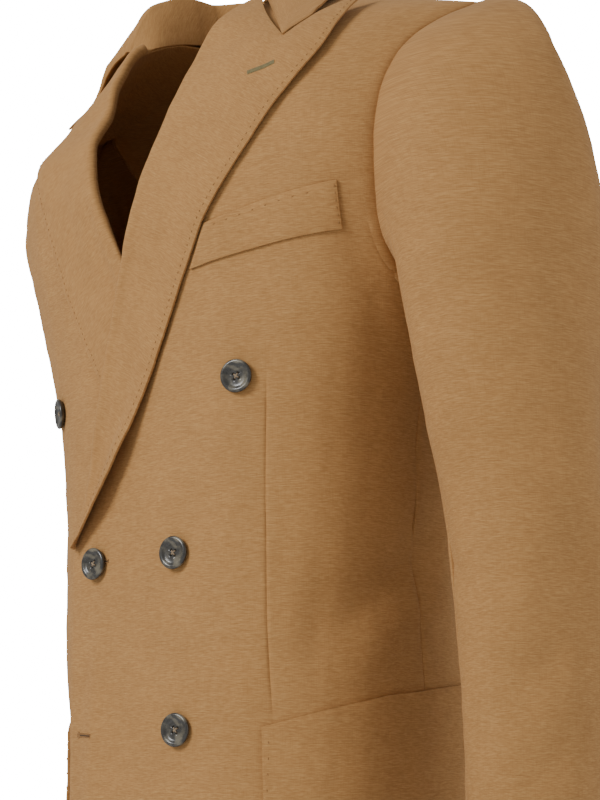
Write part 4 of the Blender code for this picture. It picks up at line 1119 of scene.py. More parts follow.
def heathered_cloth_group():
    """Fine wool: slub streaks along the weft, heathered fibres, slight mottling and a fine weave."""
    tree, start, end = new_group(
        "heathered cloth",
        (("Place", "NodeSocketVector", None), ("Base", "NodeSocketColor", (0.42, 0.24, 0.11, 1.0)),
         ("Dark fibre", "NodeSocketColor", (0.24, 0.12, 0.05, 1.0)),
         ("Light fibre", "NodeSocketColor", (0.60, 0.42, 0.25, 1.0)),
         ("Slubs", "NodeSocketFloat", 0.5), ("Fibres", "NodeSocketFloat", 0.5)),
        (("Color", "NodeSocketColor"), ("Height", "NodeSocketFloat")))
    place = start.outputs["Place"]
    wander = node(tree, "ShaderNodeVectorMath", operation="MULTIPLY_ADD")
    drift = speckle(tree, place, 45.0, 2.0)
    shift = node(tree, "ShaderNodeCombineXYZ")
    join(tree, drift, shift.inputs[1])
    wander.inputs[1].default_value = (0.0, WEFT_WANDER, 0.0)
    join(tree, shift.outputs[0], wander.inputs[0])
    join(tree, place, wander.inputs[2])
    bent = wander.outputs[0]
    dark = slub_streaks(tree, bent, 3.1, 0.53, 0.70)
    light = slub_streaks(tree, bent, 17.7, 0.54, 0.72)
    wisps = speckle(tree, scaled_place(tree, bent, 1 / FIBRE_LONG, 1 / FIBRE_THIN, 41.3), 1.0, 2.0, 0.6)
    warp = speckle(tree, scaled_place(tree, place, 1 / FIBRE_THIN, 0.35 / FIBRE_LONG, 61.9), 1.0, 2.0, 0.6)
    cloud = speckle(tree, place, 22.0, 3.0, 0.6)
    colour = blend(tree, maths(tree, "MULTIPLY", dark, start.outputs["Slubs"]),
                   start.outputs["Base"], start.outputs["Dark fibre"])
    colour = blend(tree, maths(tree, "MULTIPLY", light, start.outputs["Slubs"]),
                   colour, start.outputs["Light fibre"])
    wisp_dark = maths(tree, "MULTIPLY", spread(tree, wisps, 0.50, 0.32), start.outputs["Fibres"])
    wisp_light = maths(tree, "MULTIPLY", spread(tree, wisps, 0.52, 0.70), start.outputs["Fibres"])
    colour = blend(tree, wisp_dark, colour, start.outputs["Dark fibre"])
    colour = blend(tree, wisp_light, colour, start.outputs["Light fibre"])
    warp_dark = maths(tree, "MULTIPLY", spread(tree, warp, 0.50, 0.30),
                      maths(tree, "MULTIPLY", start.outputs["Fibres"], 0.5))
    colour = blend(tree, warp_dark, colour, start.outputs["Dark fibre"])
    tone = node(tree, "ShaderNodeHueSaturation")
    join(tree, colour, tone.inputs["Color"])
    join(tree, spread(tree, cloud, 0.25, 0.75, 0.95, 1.05), tone.inputs["Value"])
    join(tree, tone.outputs["Color"], end.inputs["Color"])
    height = maths(tree, "ADD", maths(tree, "MULTIPLY", wisps, 0.6), maths(tree, "MULTIPLY", warp, 0.4))
    join(tree, height, end.inputs["Height"])
    return tree


def marbled_horn_group():
    """Dark horn with cloudy lighter veins and faint scratches."""
    tree, start, end = new_group(
        "marbled horn",
        (("Place", "NodeSocketVector", None), ("Dark", "NodeSocketColor", (0.02, 0.02, 0.02, 1.0)),
         ("Vein", "NodeSocketColor", (0.15, 0.15, 0.12, 1.0)), ("Veins", "NodeSocketFloat", 0.7)),
        (("Color", "NodeSocketColor"), ("Roughness", "NodeSocketFloat")))
    place = start.outputs["Place"]
    cloud = speckle(tree, place, 90.0, 4.0, 0.6)
    vein = node(tree, "ShaderNodeTexWave", wave_type="BANDS", bands_direction="DIAGONAL")
    join(tree, place, vein.inputs["Vector"])
    vein.inputs["Scale"].default_value = 42.0
    vein.inputs["Distortion"].default_value = 9.0
    vein.inputs["Detail"].default_value = 3.0
    vein.inputs["Detail Scale"].default_value = 1.6
    streak = maths(tree, "MULTIPLY", spread(tree, vein.outputs["Fac"], 0.35, 0.95),
                   spread(tree, cloud, 0.36, 0.66))
    share = maths(tree, "MULTIPLY", streak, start.outputs["Veins"], True)
    join(tree, blend(tree, share, start.outputs["Dark"], start.outputs["Vein"]), end.inputs["Color"])
    scratch = speckle(tree, place, 900.0, 2.0)
    join(tree, spread(tree, scratch, 0.3, 0.7, 0.24, 0.38), end.inputs["Roughness"])
    return tree


def spun_thread_group():
    """Twisted sewing thread: slanting light and dark turns."""
    tree, start, end = new_group(
        "spun thread",
        (("Place", "NodeSocketVector", None), ("Thread", "NodeSocketColor", (0.5, 0.4, 0.3, 1.0)),
         ("Shade", "NodeSocketColor", (0.2, 0.15, 0.1, 1.0))),
        (("Color", "NodeSocketColor"), ("Height", "NodeSocketFloat")))
    turns = speckle(tree, start.outputs["Place"], 2600.0, 2.0)
    share = spread(tree, turns, 0.35, 0.65)
    join(tree, blend(tree, share, start.outputs["Shade"], start.outputs["Thread"]), end.inputs["Color"])
    join(tree, turns, end.inputs["Height"])
    return tree


def finish_with(name, tree_of, values, place_kind, bump, constants):
    """Material whose colour and relief come from a node group, and whose other values are constant."""
    made = bpy.data.materials.new(name)
    made.use_nodes = True
    tree = made.node_tree
    shader = tree.nodes["Principled BSDF"]
    group = node(tree, "ShaderNodeGroup", node_tree=tree_of)
    if place_kind == "UV":
        place = node(tree, "ShaderNodeUVMap", uv_map="grain").outputs["UV"]
    else:
        place = node(tree, "ShaderNodeTexCoord").outputs["Object"]
    join(tree, place, group.inputs["Place"])
    for label, value in values.items():
        group.inputs[label].default_value = value
    join(tree, group.outputs["Color"], shader.inputs["Base Color"])
    if "Roughness" in group.outputs:
        join(tree, group.outputs["Roughness"], shader.inputs["Roughness"])
    if bump:
        relief = node(tree, "ShaderNodeBump")
        relief.inputs["Distance"].default_value = bump
        join(tree, group.outputs["Height"], relief.inputs["Height"])
        join(tree, relief.outputs["Normal"], shader.inputs["Normal"])
    for label, value in constants.items():
        shader.inputs[label].default_value = value
    return made


def rgba(colour):
    return (*colour, 1.0)


def finishes(scene):
    """All the materials of the blazer, made once."""
    if "camel_heather" in bpy.data.materials:
        return bpy.data.materials
    cloth, buttons = scene.blazer_cloth, scene.blazer_buttons
    heather, horn, spun = heathered_cloth_group(), marbled_horn_group(), spun_thread_group()
    wool = {"Roughness": 0.86, "Sheen Weight": 0.12, "Sheen Roughness": 0.45,
            "Sheen Tint": (1.0, 0.80, 0.56, 1.0), "Specular IOR Level": 0.25}
    colours = {"Base": rgba(cloth.base), "Dark fibre": rgba(cloth.dark_fibre),
               "Light fibre": rgba(cloth.light_fibre)}
    finish_with("camel_heather", heather, {**colours, "Slubs": cloth.slubs, "Fibres": cloth.fibres},
                "UV", cloth.nap, wool)
    finish_with("camel_heather_facing", heather,
                {**colours, "Slubs": 0.35 * cloth.slubs, "Fibres": cloth.fibres}, "UV", cloth.nap, wool)
    finish_with("marbled_dark_horn", horn,
                {"Dark": rgba(buttons.horn), "Vein": rgba(buttons.vein), "Veins": 0.85},
                "Object", 0.0, {"Specular IOR Level": 0.5, "Coat Weight": 0.25, "Coat Roughness": 0.12})
    thread = {"Roughness": 0.75, "Sheen Weight": 0.1, "Specular IOR Level": 0.3}
    for name, colour, shade in (("button_thread", buttons.thread, 0.55), ("camel_thread", cloth.base, 0.5),
                                ("pale_thread", cloth.pale_thread, 0.6), ("slit_shade", cloth.slit, 0.4)):
        values = {"Thread": rgba(colour), "Shade": rgba([shade * c for c in colour])}
        finish_with(name, spun, values, "Object", 0.0001, thread)
    return bpy.data.materials


# ================================ making the pieces ===============================================
def blazer_collection():
    name = "double_breasted_blazer_cloth"
    made = bpy.data.collections.get(name)
    if made is None:
        made = bpy.data.collections.new(name)
        bpy.context.scene.collection.children.link(made)
    return made


def add_piece(name, mesh, finish):
    mesh.materials.append(bpy.data.materials[finish])
    piece = bpy.data.objects.new(name, mesh)
    blazer_collection().objects.link(piece)
    return piece


def mirrored(net):
    """The same net on the wearer's other side."""
    made = net.copy()
    made[..., 0] *= -1.0
    return made


def net_cells(rows, columns):
    """Corners of each cell of a net, its points counted row by row."""
    index = np.arange(rows * columns).reshape(rows, columns)
    return np.stack([index[:-1, :-1], index[:-1, 1:], index[1:, 1:], index[1:, :-1]], axis=-1)


def sew(name, net, outwards, finish="camel_heather", grain=0.0):
    """Cloth shell through a net, standing for the solid of the same name."""
    rows, columns = net.shape[:2]
    quads = net_cells(rows, columns)
    if outwards < 0:
        quads = quads[..., ::-1]
    quads = quads.reshape(-1, 4)
    mesh = bpy.data.meshes.new(name + "_cloth")
    mesh.from_pydata(net[..., :3].reshape(-1, 3).tolist(), [], quads.tolist())
    layer = mesh.uv_layers.new(name="grain")
    places = np.stack([net[..., 3] + grain, net[..., 5] + 0.37 * grain], axis=-1).reshape(-1, 2)
    layer.data.foreach_set("uv", places[quads.ravel()].astype(np.float32).ravel())
    mesh.shade_smooth()
    piece = add_piece(name + "_cloth", mesh, finish)
    wall = piece.modifiers.new("wall", "SOLIDIFY")
    wall.thickness = WALL
    wall.offset = 0.0
    rounding = piece.modifiers.new("rounding", "BEVEL")
    rounding.width = BEVEL
    rounding.segments = 2
    rounding.limit_method = "ANGLE"
    rounding.angle_limit = math.radians(55.0)
    rounding.use_clamp_overlap = True
    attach(piece, "root")
    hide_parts(name)
    return piece


def with_weft(net, cap=None):
    """Add to a net the height by which its weft runs: level ones round the body, else its own."""
    weft = net[..., 4] if cap is None else level(net[..., 4], cap)
    return np.concatenate([net, weft[..., None]], axis=-1)


@functools.cache
def nets():
    """Finished nets of every cloth piece, by the name of its solid."""
    made = {}
    for side, lift, table, phase in (("left", left_lift, LEFT_FRONT_CREASES, LEFT_PHASE),
                                     ("right", right_lift, RIGHT_FRONT_CREASES, RIGHT_PHASE)):
        made[side + "_front"] = with_weft(front_net(lift, table, phase), FRONT_CAP)
        made[side + "_side_panel"] = with_weft(side_net(table, phase))
        made[side + "_hip_pocket"] = with_weft(hip_pocket_net(lift, table, phase))
        made[side + "_back"] = with_weft(back_net(BACK_CREASES, phase + 0.8), BACK_CAP)
    for side, table, reach, folds, phase in (
            ("left", LEFT_ARM, LEFT_CAP_REACH, LEFT_SLEEVE_CREASES, 0.9),
            ("right", RIGHT_ARM, RIGHT_CAP_REACH, RIGHT_SLEEVE_CREASES, 2.6)):
        for part, seams, creased in (("top_sleeve", TOP_SLEEVE, folds),
                                     ("under_sleeve", UNDER_SLEEVE, UNDER_SLEEVE_CREASES)):
            made[f"{side}_{part}"] = with_weft(sleeve_net(table, reach, *seams, creased, phase))
    made["left_lapel"] = with_weft(lapel_net(left_lift, LEFT_LAPEL_EDGE, left_roll_radius, left_edge_lift,
                                             LEFT_PEAK_LIFT, LEFT_PHASE))
    made["right_lapel"] = with_weft(lapel_net(right_lift, RIGHT_LAPEL_EDGE, right_roll_radius,
                                              right_edge_lift, RIGHT_PEAK_LIFT, RIGHT_PHASE))
    made["collar"] = with_weft(collar_net())
    made["breast_welt"] = with_weft(welt_net())
    for name in list(made):
        if name.startswith("right_"):
            made[name] = mirrored(made[name])
    return made


# ================================ stitches and thread ==============================================
def tube(points, radius, sides=8, ends=0.35):
    """Corners and faces of a round thread along a line, drawn in at its ends."""
    points = np.asarray(points, float)
    along = unit(np.gradient(points, axis=0))
    guide = np.array([0.31, 0.17, 0.93])
    first = unit(np.cross(along, guide))
    second = np.cross(along, first)
    turns = 2 * math.pi * np.arange(sides) / sides
    taper = np.ones(len(points))
    taper[0] = taper[-1] = ends
    ring = np.cos(turns)[None, :, None] * first[:, None] + np.sin(turns)[None, :, None] * second[:, None]
    corners = (points[:, None] + radius * taper[:, None, None] * ring).reshape(-1, 3)
    faces = []
    for r in range(len(points) - 1):
        for s in range(sides):
            n = (s + 1) % sides
            faces.append((r * sides + s, r * sides + n, (r + 1) * sides + n, (r + 1) * sides + s))
    faces.append(tuple(range(sides))[::-1])
    faces.append(tuple((len(points) - 1) * sides + s for s in range(sides)))
    return corners, faces


def joined(parts):
    """One set of corners and faces from several."""
    corners, faces, count = [], [], 0
    for own_corners, own_faces in parts:
        corners.extend(own_corners.tolist())
        faces.extend([tuple(count + k for k in face) for face in own_faces])
        count += len(own_corners)
    return corners, faces


def add_threads(name, parts, finish):
    """One piece from many short threads."""
    corners, faces = joined(parts)
    mesh = bpy.data.meshes.new(name)
    mesh.from_pydata(corners, [], faces)
    mesh.shade_smooth()
    work = bmesh.new()
    work.from_mesh(mesh)
    bmesh.ops.recalc_face_normals(work, faces=work.faces)
    work.to_mesh(mesh)
    work.free()
    piece = add_piece(name, mesh, finish)
    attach(piece, "root")
    return piece


def short_stitch(middle, along, out, length=STITCH_LENGTH, radius=STITCH_RADIUS):
    """Stitch that comes out of the cloth and goes back in."""
    steps = np.linspace(-0.5, 0.5, 5)[:, None]
    rise = (1.0 - (2.0 * steps) ** 2) * radius * 1.1
    return tube(middle + along * steps * length + out * rise, radius, 6, 0.6)


def edge_line(net, side, inside, outwards):
    """Points and outward directions along a line at a distance inside an edge."""
    grid = net[..., :3]
    out = net_normals(grid) * outwards
    if side in ("first_column", "last_column"):
        grid, out = np.swapaxes(grid, 0, 1), np.swapaxes(out, 0, 1)
    if side in ("last_row", "last_column"):
        grid, out = grid[::-1], out[::-1]
    reach = arcs(grid, 0)
    cell = np.clip((reach < inside).sum(axis=0) - 1, 0, len(grid) - 2)
    place = np.arange(grid.shape[1])
    part = ((inside - reach[cell, place]) / (reach[cell + 1, place] - reach[cell, place]))[:, None]
    points = grid[cell, place] + part * (grid[cell + 1, place] - grid[cell, place])
    return points, out[cell, place]


def distances(points):
    """Distance along a line to each of its points."""
    return np.concatenate([[0.0], np.cumsum(np.linalg.norm(np.diff(points, axis=0), axis=1))])


def at_distance(spot, reach, values):
    """Point or direction at a distance along a line."""
    return np.array([np.interp(spot, reach, values[:, k]) for k in range(3)])


def stitch_row(points, out, spacing, skip_start=0.012, skip_end=0.012, length=STITCH_LENGTH):
    """Stitches at even distances along a line of the cloth."""
    reach = distances(points)
    parts = []
    for spot in np.arange(skip_start, reach[-1] - skip_end, spacing):
        here = at_distance(spot, reach, points)
        ahead = at_distance(spot + STITCH_LOOK, reach, points)
        facing = unit(at_distance(spot, reach, out))
        parts.append(short_stitch(here + facing * WALL / 2, unit(ahead - here), facing, length))
    return parts


def on_cloth(net, across, height, mirror=False):
    """Point and outward direction of a cloth's outer face over a place of the front."""
    grid = net[..., :3] * np.array([-1.0 if mirror else 1.0, 1.0, 1.0])
    rows, columns = grid.shape[:2]
    quads = net_cells(rows, columns)
    tree = BVHTree.FromPolygons(grid.reshape(-1, 3).tolist(), quads.reshape(-1, 4).tolist())
    normal = figure_normal(bearing_at(np.array(across), height), height)
    start = chest_point(np.array(across), height, np.array(0.05))
    spot, facing, _, _ = tree.ray_cast(Vector(start), Vector(-normal))
    if spot is None:
        raise RuntimeError(f"no cloth at {across}, {height}")
    facing = np.array(facing)
    facing = facing if facing @ normal > 0 else -facing
    turned = np.array([-1.0 if mirror else 1.0, 1.0, 1.0])
    return (np.array(spot) + facing * WALL / 2) * turned, facing * turned


def buttonhole(name, panel, inner, outer, finish, eyelet, open_slit):
    """Worked buttonhole: two rows of close stitches with the slit between them, or one if closed."""
    net = nets()[panel]
    mirror = panel.startswith("right_")
    places = [np.array(inner) + t * (np.array(outer) - np.array(inner)) for t in np.linspace(0, 1, 9)]
    found = [on_cloth(net, *place, mirror) for place in places]
    points, out = np.array([f[0] for f in found]), np.array([f[1] for f in found])
    reach = distances(points)
    parts = []
    for spot in np.arange(0.0, reach[-1], PURL_SPACING):
        here = at_distance(spot, reach, points)
        ahead = at_distance(spot + PURL_LOOK, reach, points)
        along = unit(ahead - here) if spot + PURL_LOOK < reach[-1] else along
        facing = unit(at_distance(spot, reach, out))
        beside = np.cross(facing, along)
        for sign in (-1.0, 1.0) if open_slit else ():
            middle = here + sign * beside * (PURL_LENGTH / 2 + SLIT_HALF)
            parts.append(short_stitch(middle, beside, facing, PURL_LENGTH, PURL_RADIUS))
        if not open_slit:
            parts.append(short_stitch(here, beside, facing, CLOSED_WIDTH, PURL_RADIUS))
    if eyelet:
        centre, facing = points[-1], out[-1]
        along = unit(points[-1] - points[-2])
        beside = np.cross(facing, along)
        for angle in np.arange(0.0, 2 * math.pi, PURL_SPACING / eyelet):
            spoke = along * math.cos(angle) + beside * math.sin(angle)
            spot = centre + spoke * eyelet * EYELET_MIDDLE
            parts.append(short_stitch(spot, spoke, facing, EYELET_STITCH * eyelet, PURL_RADIUS))
    add_threads(name, parts, finish)
    if open_slit:
        sunk = points + out * SLIT_RISE
        add_threads(name + "_slit", [tube(sunk, SLIT_HALF, 8, 0.3)], "slit_shade")


# ================================ buttons ========================================================
def button_mesh():
    """Turned button with a raised rim and a dished middle, its back at height 0."""
    work = bmesh.new()
    corners = [work.verts.new((radius * BUTTON_RADIUS, 0.0, height * BUTTON_DEPTH))
               for radius, height in BUTTON_PROFILE]
    edges = [work.edges.new(pair) for pair in zip(corners[:-1], corners[1:])]
    bmesh.ops.spin(work, geom=corners + edges, cent=(0, 0, 0), axis=(0, 0, 1),
                   angle=2 * math.pi, steps=BUTTON_SIDES, use_merge=True)
    bmesh.ops.remove_doubles(work, verts=work.verts, dist=0.00001)
    bmesh.ops.recalc_face_normals(work, faces=work.faces)
    mesh = bpy.data.meshes.new("button")
    work.to_mesh(mesh)
    work.free()
    return mesh


def hole_places():
    return [(BUTTON_HOLE_SPREAD * math.cos(a), BUTTON_HOLE_SPREAD * math.sin(a))
            for a in (math.pi / 4 + k * math.pi / 2 for k in range(4))]


def drilled(mesh):
    """Mesh of the button with its four holes cut through."""
    blank = bpy.data.objects.new("blank", mesh)
    bpy.context.scene.collection.objects.link(blank)
    drills = []
    for x, y in hole_places():
        work = bmesh.new()
        bmesh.ops.create_cone(work, cap_ends=True, segments=20, radius1=BUTTON_HOLE_RADIUS,
                              radius2=BUTTON_HOLE_RADIUS, depth=3 * BUTTON_DEPTH)
        bmesh.ops.translate(work, verts=work.verts, vec=(x, y, BUTTON_DEPTH / 2))
        drill_mesh = bpy.data.meshes.new("drill")
        work.to_mesh(drill_mesh)
        work.free()
        drill = bpy.data.objects.new("drill", drill_mesh)
        bpy.context.scene.collection.objects.link(drill)
        drills.append(drill)
        cut = blank.modifiers.new("hole", "BOOLEAN")
        cut.operation = "DIFFERENCE"
        cut.solver = "EXACT"
        cut.object = drill
    bpy.context.view_layer.update()
    shaped = blank.evaluated_get(bpy.context.evaluated_depsgraph_get())
    made = bpy.data.meshes.new_from_object(shaped)
    for scrap in [blank, *drills]:
        bpy.data.objects.remove(scrap)
    return made


def seat_height(grid, spot, facing):
    """Furthest that a panel reaches towards a button's back, measured from a spot."""
    away = grid.reshape(-1, 3) - spot
    out = away @ facing
    near = np.linalg.norm(away - out[:, None] * facing, axis=1) < BUTTON_RADIUS
    return float(out[near & (np.abs(out) < BUTTON_RADIUS)].max())


def button_threads():
    """Threads that cross from hole to hole over the dished middle."""
    floor = BUTTON_PROFILE[0][1] * BUTTON_DEPTH
    parts = []
    for k, (start, end) in enumerate(((0, 2), (1, 3))):
        here, there = (np.array([*hole_places()[h], 0.0]) for h in (start, end))
        beside = unit(np.cross(there - here, [0.0, 0.0, 1.0]))
        for strand in (-0.5, 0.5):
            steps = np.linspace(0, 1, 9)[:, None]
            arch = np.sin(math.pi * steps) ** 0.5
            rise = np.array([0.0, 0.0, 1.0]) * (floor - 0.0007 + arch * (0.0010 + 0.0002 * k))
            line = here + steps * (there - here) + rise + beside * strand * 0.00055
            parts.append(tube(line, 0.00030, 8, 0.9))
    return parts


def sew_button(name, across, height, panel, lean, mesh):
    spot = chest_point(np.array(across), height, 0.0)
    normal = figure_normal(bearing_at(np.array(across), height), height)
    facing = Vector(normal)
    facing.rotate(Matrix.Rotation(math.radians(lean), 3, "Z"))
    grid = nets()[panel + "_front"][..., :3]
    place = Vector(spot) + facing * (seat_height(grid, spot, np.array(facing)) + WALL / 2 + BUTTON_SEAT)
    turn = facing.to_track_quat("Z", "Y").to_matrix().to_4x4()
    spin = Matrix.Rotation(math.radians(BUTTON_TURNS[name]), 4, "Z")
    horn = bpy.data.objects.new(name + "_horn", mesh)
    blazer_collection().objects.link(horn)
    horn.matrix_world = Matrix.Translation(place) @ turn @ spin
    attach(horn, "root")
    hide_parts(name)
    threads = add_threads(name + "_thread", button_threads(), "button_thread")
    threads.matrix_world = horn.matrix_world
    return horn


# ================================ studio ===========================================================
def aim(thing, at):
    thing.rotation_mode = "QUATERNION"
    thing.rotation_quaternion = (Vector(at) - thing.location).to_track_quat("-Z", "Y")


def soft_light(scene, name, place, size, power):
    lamp = bpy.data.lights.new(name, "AREA")
    lamp.shape = "DISK"
    lamp.size = size
    lamp.energy = power
    light = bpy.data.objects.new(name, lamp)
    scene.collection.objects.link(light)
    light.location = place
    aim(light, CAMERA_TARGET)
    return light


def room(scene, strength):
    """White all round for the camera, and an even grey for what it lights."""
    world = bpy.data.worlds.new("room")
    scene.world = world
    world.use_nodes = True
    tree = world.node_tree
    tree.nodes.clear()
    even, white = node(tree, "ShaderNodeBackground"), node(tree, "ShaderNodeBackground")
    even.inputs["Color"].default_value = (1.0, 1.0, 1.0, 1.0)
    even.inputs["Strength"].default_value = strength
    white.inputs["Color"].default_value = (1.0, 1.0, 1.0, 1.0)
    white.inputs["Strength"].default_value = BACKDROP
    share = node(tree, "ShaderNodeMixShader")
    join(tree, node(tree, "ShaderNodeLightPath").outputs["Is Camera Ray"], share.inputs[0])
    join(tree, even.outputs[0], share.inputs[1])
    join(tree, white.outputs[0], share.inputs[2])
    join(tree, share.outputs[0], node(tree, "ShaderNodeOutputWorld").inputs[0])


def floor_finish(colour):
    made = bpy.data.materials.new("pale_floor")
    made.use_nodes = True
    tree = made.node_tree
    shader = tree.nodes["Principled BSDF"]
    shader.inputs["Roughness"].default_value = 0.9
    place = node(tree, "ShaderNodeTexCoord").outputs["Object"]
    grain = spread(tree, speckle(tree, place, 60.0, 3.0), 0.3, 0.7, 0.97, 1.0)
    tint = node(tree, "ShaderNodeHueSaturation")
    tint.inputs["Color"].default_value = rgba(colour)
    join(tree, grain, tint.inputs["Value"])
    join(tree, tint.outputs["Color"], shader.inputs["Base Color"])
    return made


def set_stage(scene, studio):
    room(scene, studio.air)
    work = bmesh.new()
    bmesh.ops.create_grid(work, x_segments=1, y_segments=1, size=FLOOR_HALF)
    mesh = bpy.data.meshes.new("floor")
    work.to_mesh(mesh)
    work.free()
    mesh.materials.append(floor_finish(studio.floor))
    floor = bpy.data.objects.new("floor", mesh)
    floor.location = (0.0, 0.0, FLOOR_HEIGHT)
    scene.collection.objects.link(floor)
    target = np.array(CAMERA_TARGET)
    turn, tilt = math.radians(CAMERA_BEARING), math.radians(CAMERA_TILT)
    back = np.array([math.sin(turn) * math.cos(tilt), -math.cos(turn) * math.cos(tilt), math.sin(tilt)])
    right = np.array([math.cos(turn), math.sin(turn), 0.0])
    up = np.cross(back, right)
    key = soft_light(scene, "key_light", target + KEY_PLACE[0] * right + KEY_PLACE[1] * up
                     + KEY_PLACE[2] * back, 1.1, studio.key)
    fill = soft_light(scene, "fill_light", target + FILL_PLACE[0] * right + FILL_PLACE[1] * up
                      + FILL_PLACE[2] * back, 2.0, studio.fill)
    lens = bpy.data.cameras.new("camera")
    lens.lens = CAMERA_LENS
    lens.clip_start = 0.05
    lens.clip_end = 100.0
    camera = bpy.data.objects.new("camera", lens)
    camera.location = target + studio.distance * back
    scene.collection.objects.link(camera)
    looks = -back + CAMERA_AIM[0] * right + CAMERA_AIM[1] * up
    camera.rotation_mode = "QUATERNION"
    camera.rotation_quaternion = Vector(looks).to_track_quat("-Z", "Y")
    scene.camera = camera


# ================================ sizes and colours that a user may change ==========================
class BlazerCloth(bpy.types.PropertyGroup):
    """Camel cloth of the coat."""
    base: FloatVectorProperty(name="Base", description="Main colour of the cloth", subtype="COLOR",
                              size=3, min=0.0, max=1.0, default=(0.418, 0.212, 0.071))
    dark_fibre: FloatVectorProperty(name="Dark fibre", description="Colour of the darker slubs and fibres",
                                    subtype="COLOR", size=3, min=0.0, max=1.0, default=(0.270, 0.122, 0.036))
    light_fibre: FloatVectorProperty(name="Light fibre", description="Colour of the lighter slubs and fibres",
                                     subtype="COLOR", size=3, min=0.0, max=1.0,
                                     default=(0.580, 0.345, 0.130))
    pale_thread: FloatVectorProperty(name="Pale thread", description="Silk of the lapel buttonhole",
                                     subtype="COLOR", size=3, min=0.0, max=1.0,
                                     default=(0.310, 0.255, 0.115))
    slit: FloatVectorProperty(name="Slit", description="Shaded cloth inside a buttonhole", subtype="COLOR",
                              size=3, min=0.0, max=1.0, default=(0.060, 0.032, 0.016))
    slubs: FloatProperty(name="Slubs", description="Strength of the streaks along the weft",
                         subtype="FACTOR", min=0.0, max=1.0, default=0.34)
    fibres: FloatProperty(name="Fibres", description="Strength of the heathered fibres", subtype="FACTOR",
                          min=0.0, max=1.0, default=0.42)
    nap: FloatProperty(name="Nap", description="Depth of the weave and its nap", subtype="DISTANCE",
                       unit="LENGTH", min=0.0, max=0.002, default=0.00022)


class BlazerButtons(bpy.types.PropertyGroup):
    """Dark horn buttons and the thread that holds them."""
    horn: FloatVectorProperty(name="Horn", description="Dark ground of the horn", subtype="COLOR", size=3,
                              min=0.0, max=1.0, default=(0.034, 0.031, 0.026))
    vein: FloatVectorProperty(name="Veins", description="Lighter clouds of the horn", subtype="COLOR",
                              size=3, min=0.0, max=1.0, default=(0.190, 0.165, 0.115))
    thread: FloatVectorProperty(name="Thread", description="Thread in the four holes", subtype="COLOR",
                                size=3, min=0.0, max=1.0, default=(0.400, 0.290, 0.180))


class BlazerStudio(bpy.types.PropertyGroup):
    """Floor, lights and camera."""
    floor: FloatVectorProperty(name="Floor", description="Colour of the floor", subtype="COLOR", size=3,
                               min=0.0, max=1.0, default=(0.86, 0.86, 0.86))
    key: FloatProperty(name="Key light", description="Soft light from the front and above", subtype="POWER",
                       min=0.0, max=1000.0, default=50.0)
    fill: FloatProperty(name="Fill light", description="Weak light from the other side", subtype="POWER",
                        min=0.0, max=1000.0, default=14.0)
    air: FloatProperty(name="Room light", description="Even light from all round", min=0.0, max=5.0,
                       default=0.42)
    distance: FloatProperty(name="Camera distance", description="Camera from the middle of the chest",
                            subtype="DISTANCE", unit="LENGTH", min=0.5, max=10.0, default=1.69)


# ================================ operators ========================================================
class BLAZER_OT_fronts(bpy.types.Operator):
    """Sew the left and right fronts with their darts"""
    bl_idname = "blazer.fronts"
    bl_label = "Fronts"

    def execute(self, context):
        finishes(context.scene)
        sew("left_front", nets()["left_front"], 1, grain=0.31)
        sew("right_front", nets()["right_front"], -1, grain=1.77)
        return {"FINISHED"}


class BLAZER_OT_backs(bpy.types.Operator):
    """Sew the side panels and the two halves of the back"""
    bl_idname = "blazer.backs"
    bl_label = "Sides and back"

    def execute(self, context):
        finishes(context.scene)
        for side, out, grain in (("left", 1, 2.43), ("right", -1, 3.91)):
            sew(side + "_side_panel", nets()[side + "_side_panel"], out,
                grain=grain)
            sew(side + "_back", nets()[side + "_back"], -out, grain=grain + 0.9)
        return {"FINISHED"}


class BLAZER_OT_sleeves(bpy.types.Operator):
    """Sew the top and under sleeves"""
    bl_idname = "blazer.sleeves"
    bl_label = "Sleeves"

    def execute(self, context):
        finishes(context.scene)
        for side, out, grain in (("left", 1, 5.17), ("right", -1, 6.61)):
            for part in ("top_sleeve", "under_sleeve"):
                name = f"{side}_{part}"
                sew(name, nets()[name], out, grain=grain)
        return {"FINISHED"}


class BLAZER_OT_lapels(bpy.types.Operator):
    """Fold out the two peaked lapels"""
    bl_idname = "blazer.lapels"
    bl_label = "Lapels"

    def execute(self, context):
        finishes(context.scene)
        for side, out, grain in (("left", 1, 8.2), ("right", -1, 9.4)):
            sew(side + "_lapel", nets()[side + "_lapel"], out,
                "camel_heather_facing", grain)
        return {"FINISHED"}


class BLAZER_OT_collar(bpy.types.Operator):
    """Fold the collar round the neck"""
    bl_idname = "blazer.collar"
    bl_label = "Collar"

    def execute(self, context):
        finishes(context.scene)
        sew("collar", nets()["collar"], 1,
            "camel_heather_facing", 10.3)
        return {"FINISHED"}


class BLAZER_OT_pockets(bpy.types.Operator):
    """Lay on the breast welt and the two patch pockets"""
    bl_idname = "blazer.pockets"
    bl_label = "Pockets"

    def execute(self, context):
        finishes(context.scene)
        sew("breast_welt", nets()["breast_welt"], -1, grain=11.6)
        for side, out, grain in (("left", -1, 12.1), ("right", 1, 13.3)):
            name = side + "_hip_pocket"
            sew(name, nets()[name], out, grain=grain)
        return {"FINISHED"}


class BLAZER_OT_buttons(bpy.types.Operator):
    """Sew on the five horn buttons"""
    bl_idname = "blazer.buttons"
    bl_label = "Buttons"

    def execute(self, context):
        finishes(context.scene)
        mesh = drilled(button_mesh())
        mesh.materials.clear()
        mesh.materials.append(bpy.data.materials["marbled_dark_horn"])
        mesh.shade_smooth()
        for name, across, height, panel, lean in BUTTONS:
            sew_button(name, across, height, panel, lean, mesh)
        return {"FINISHED"}


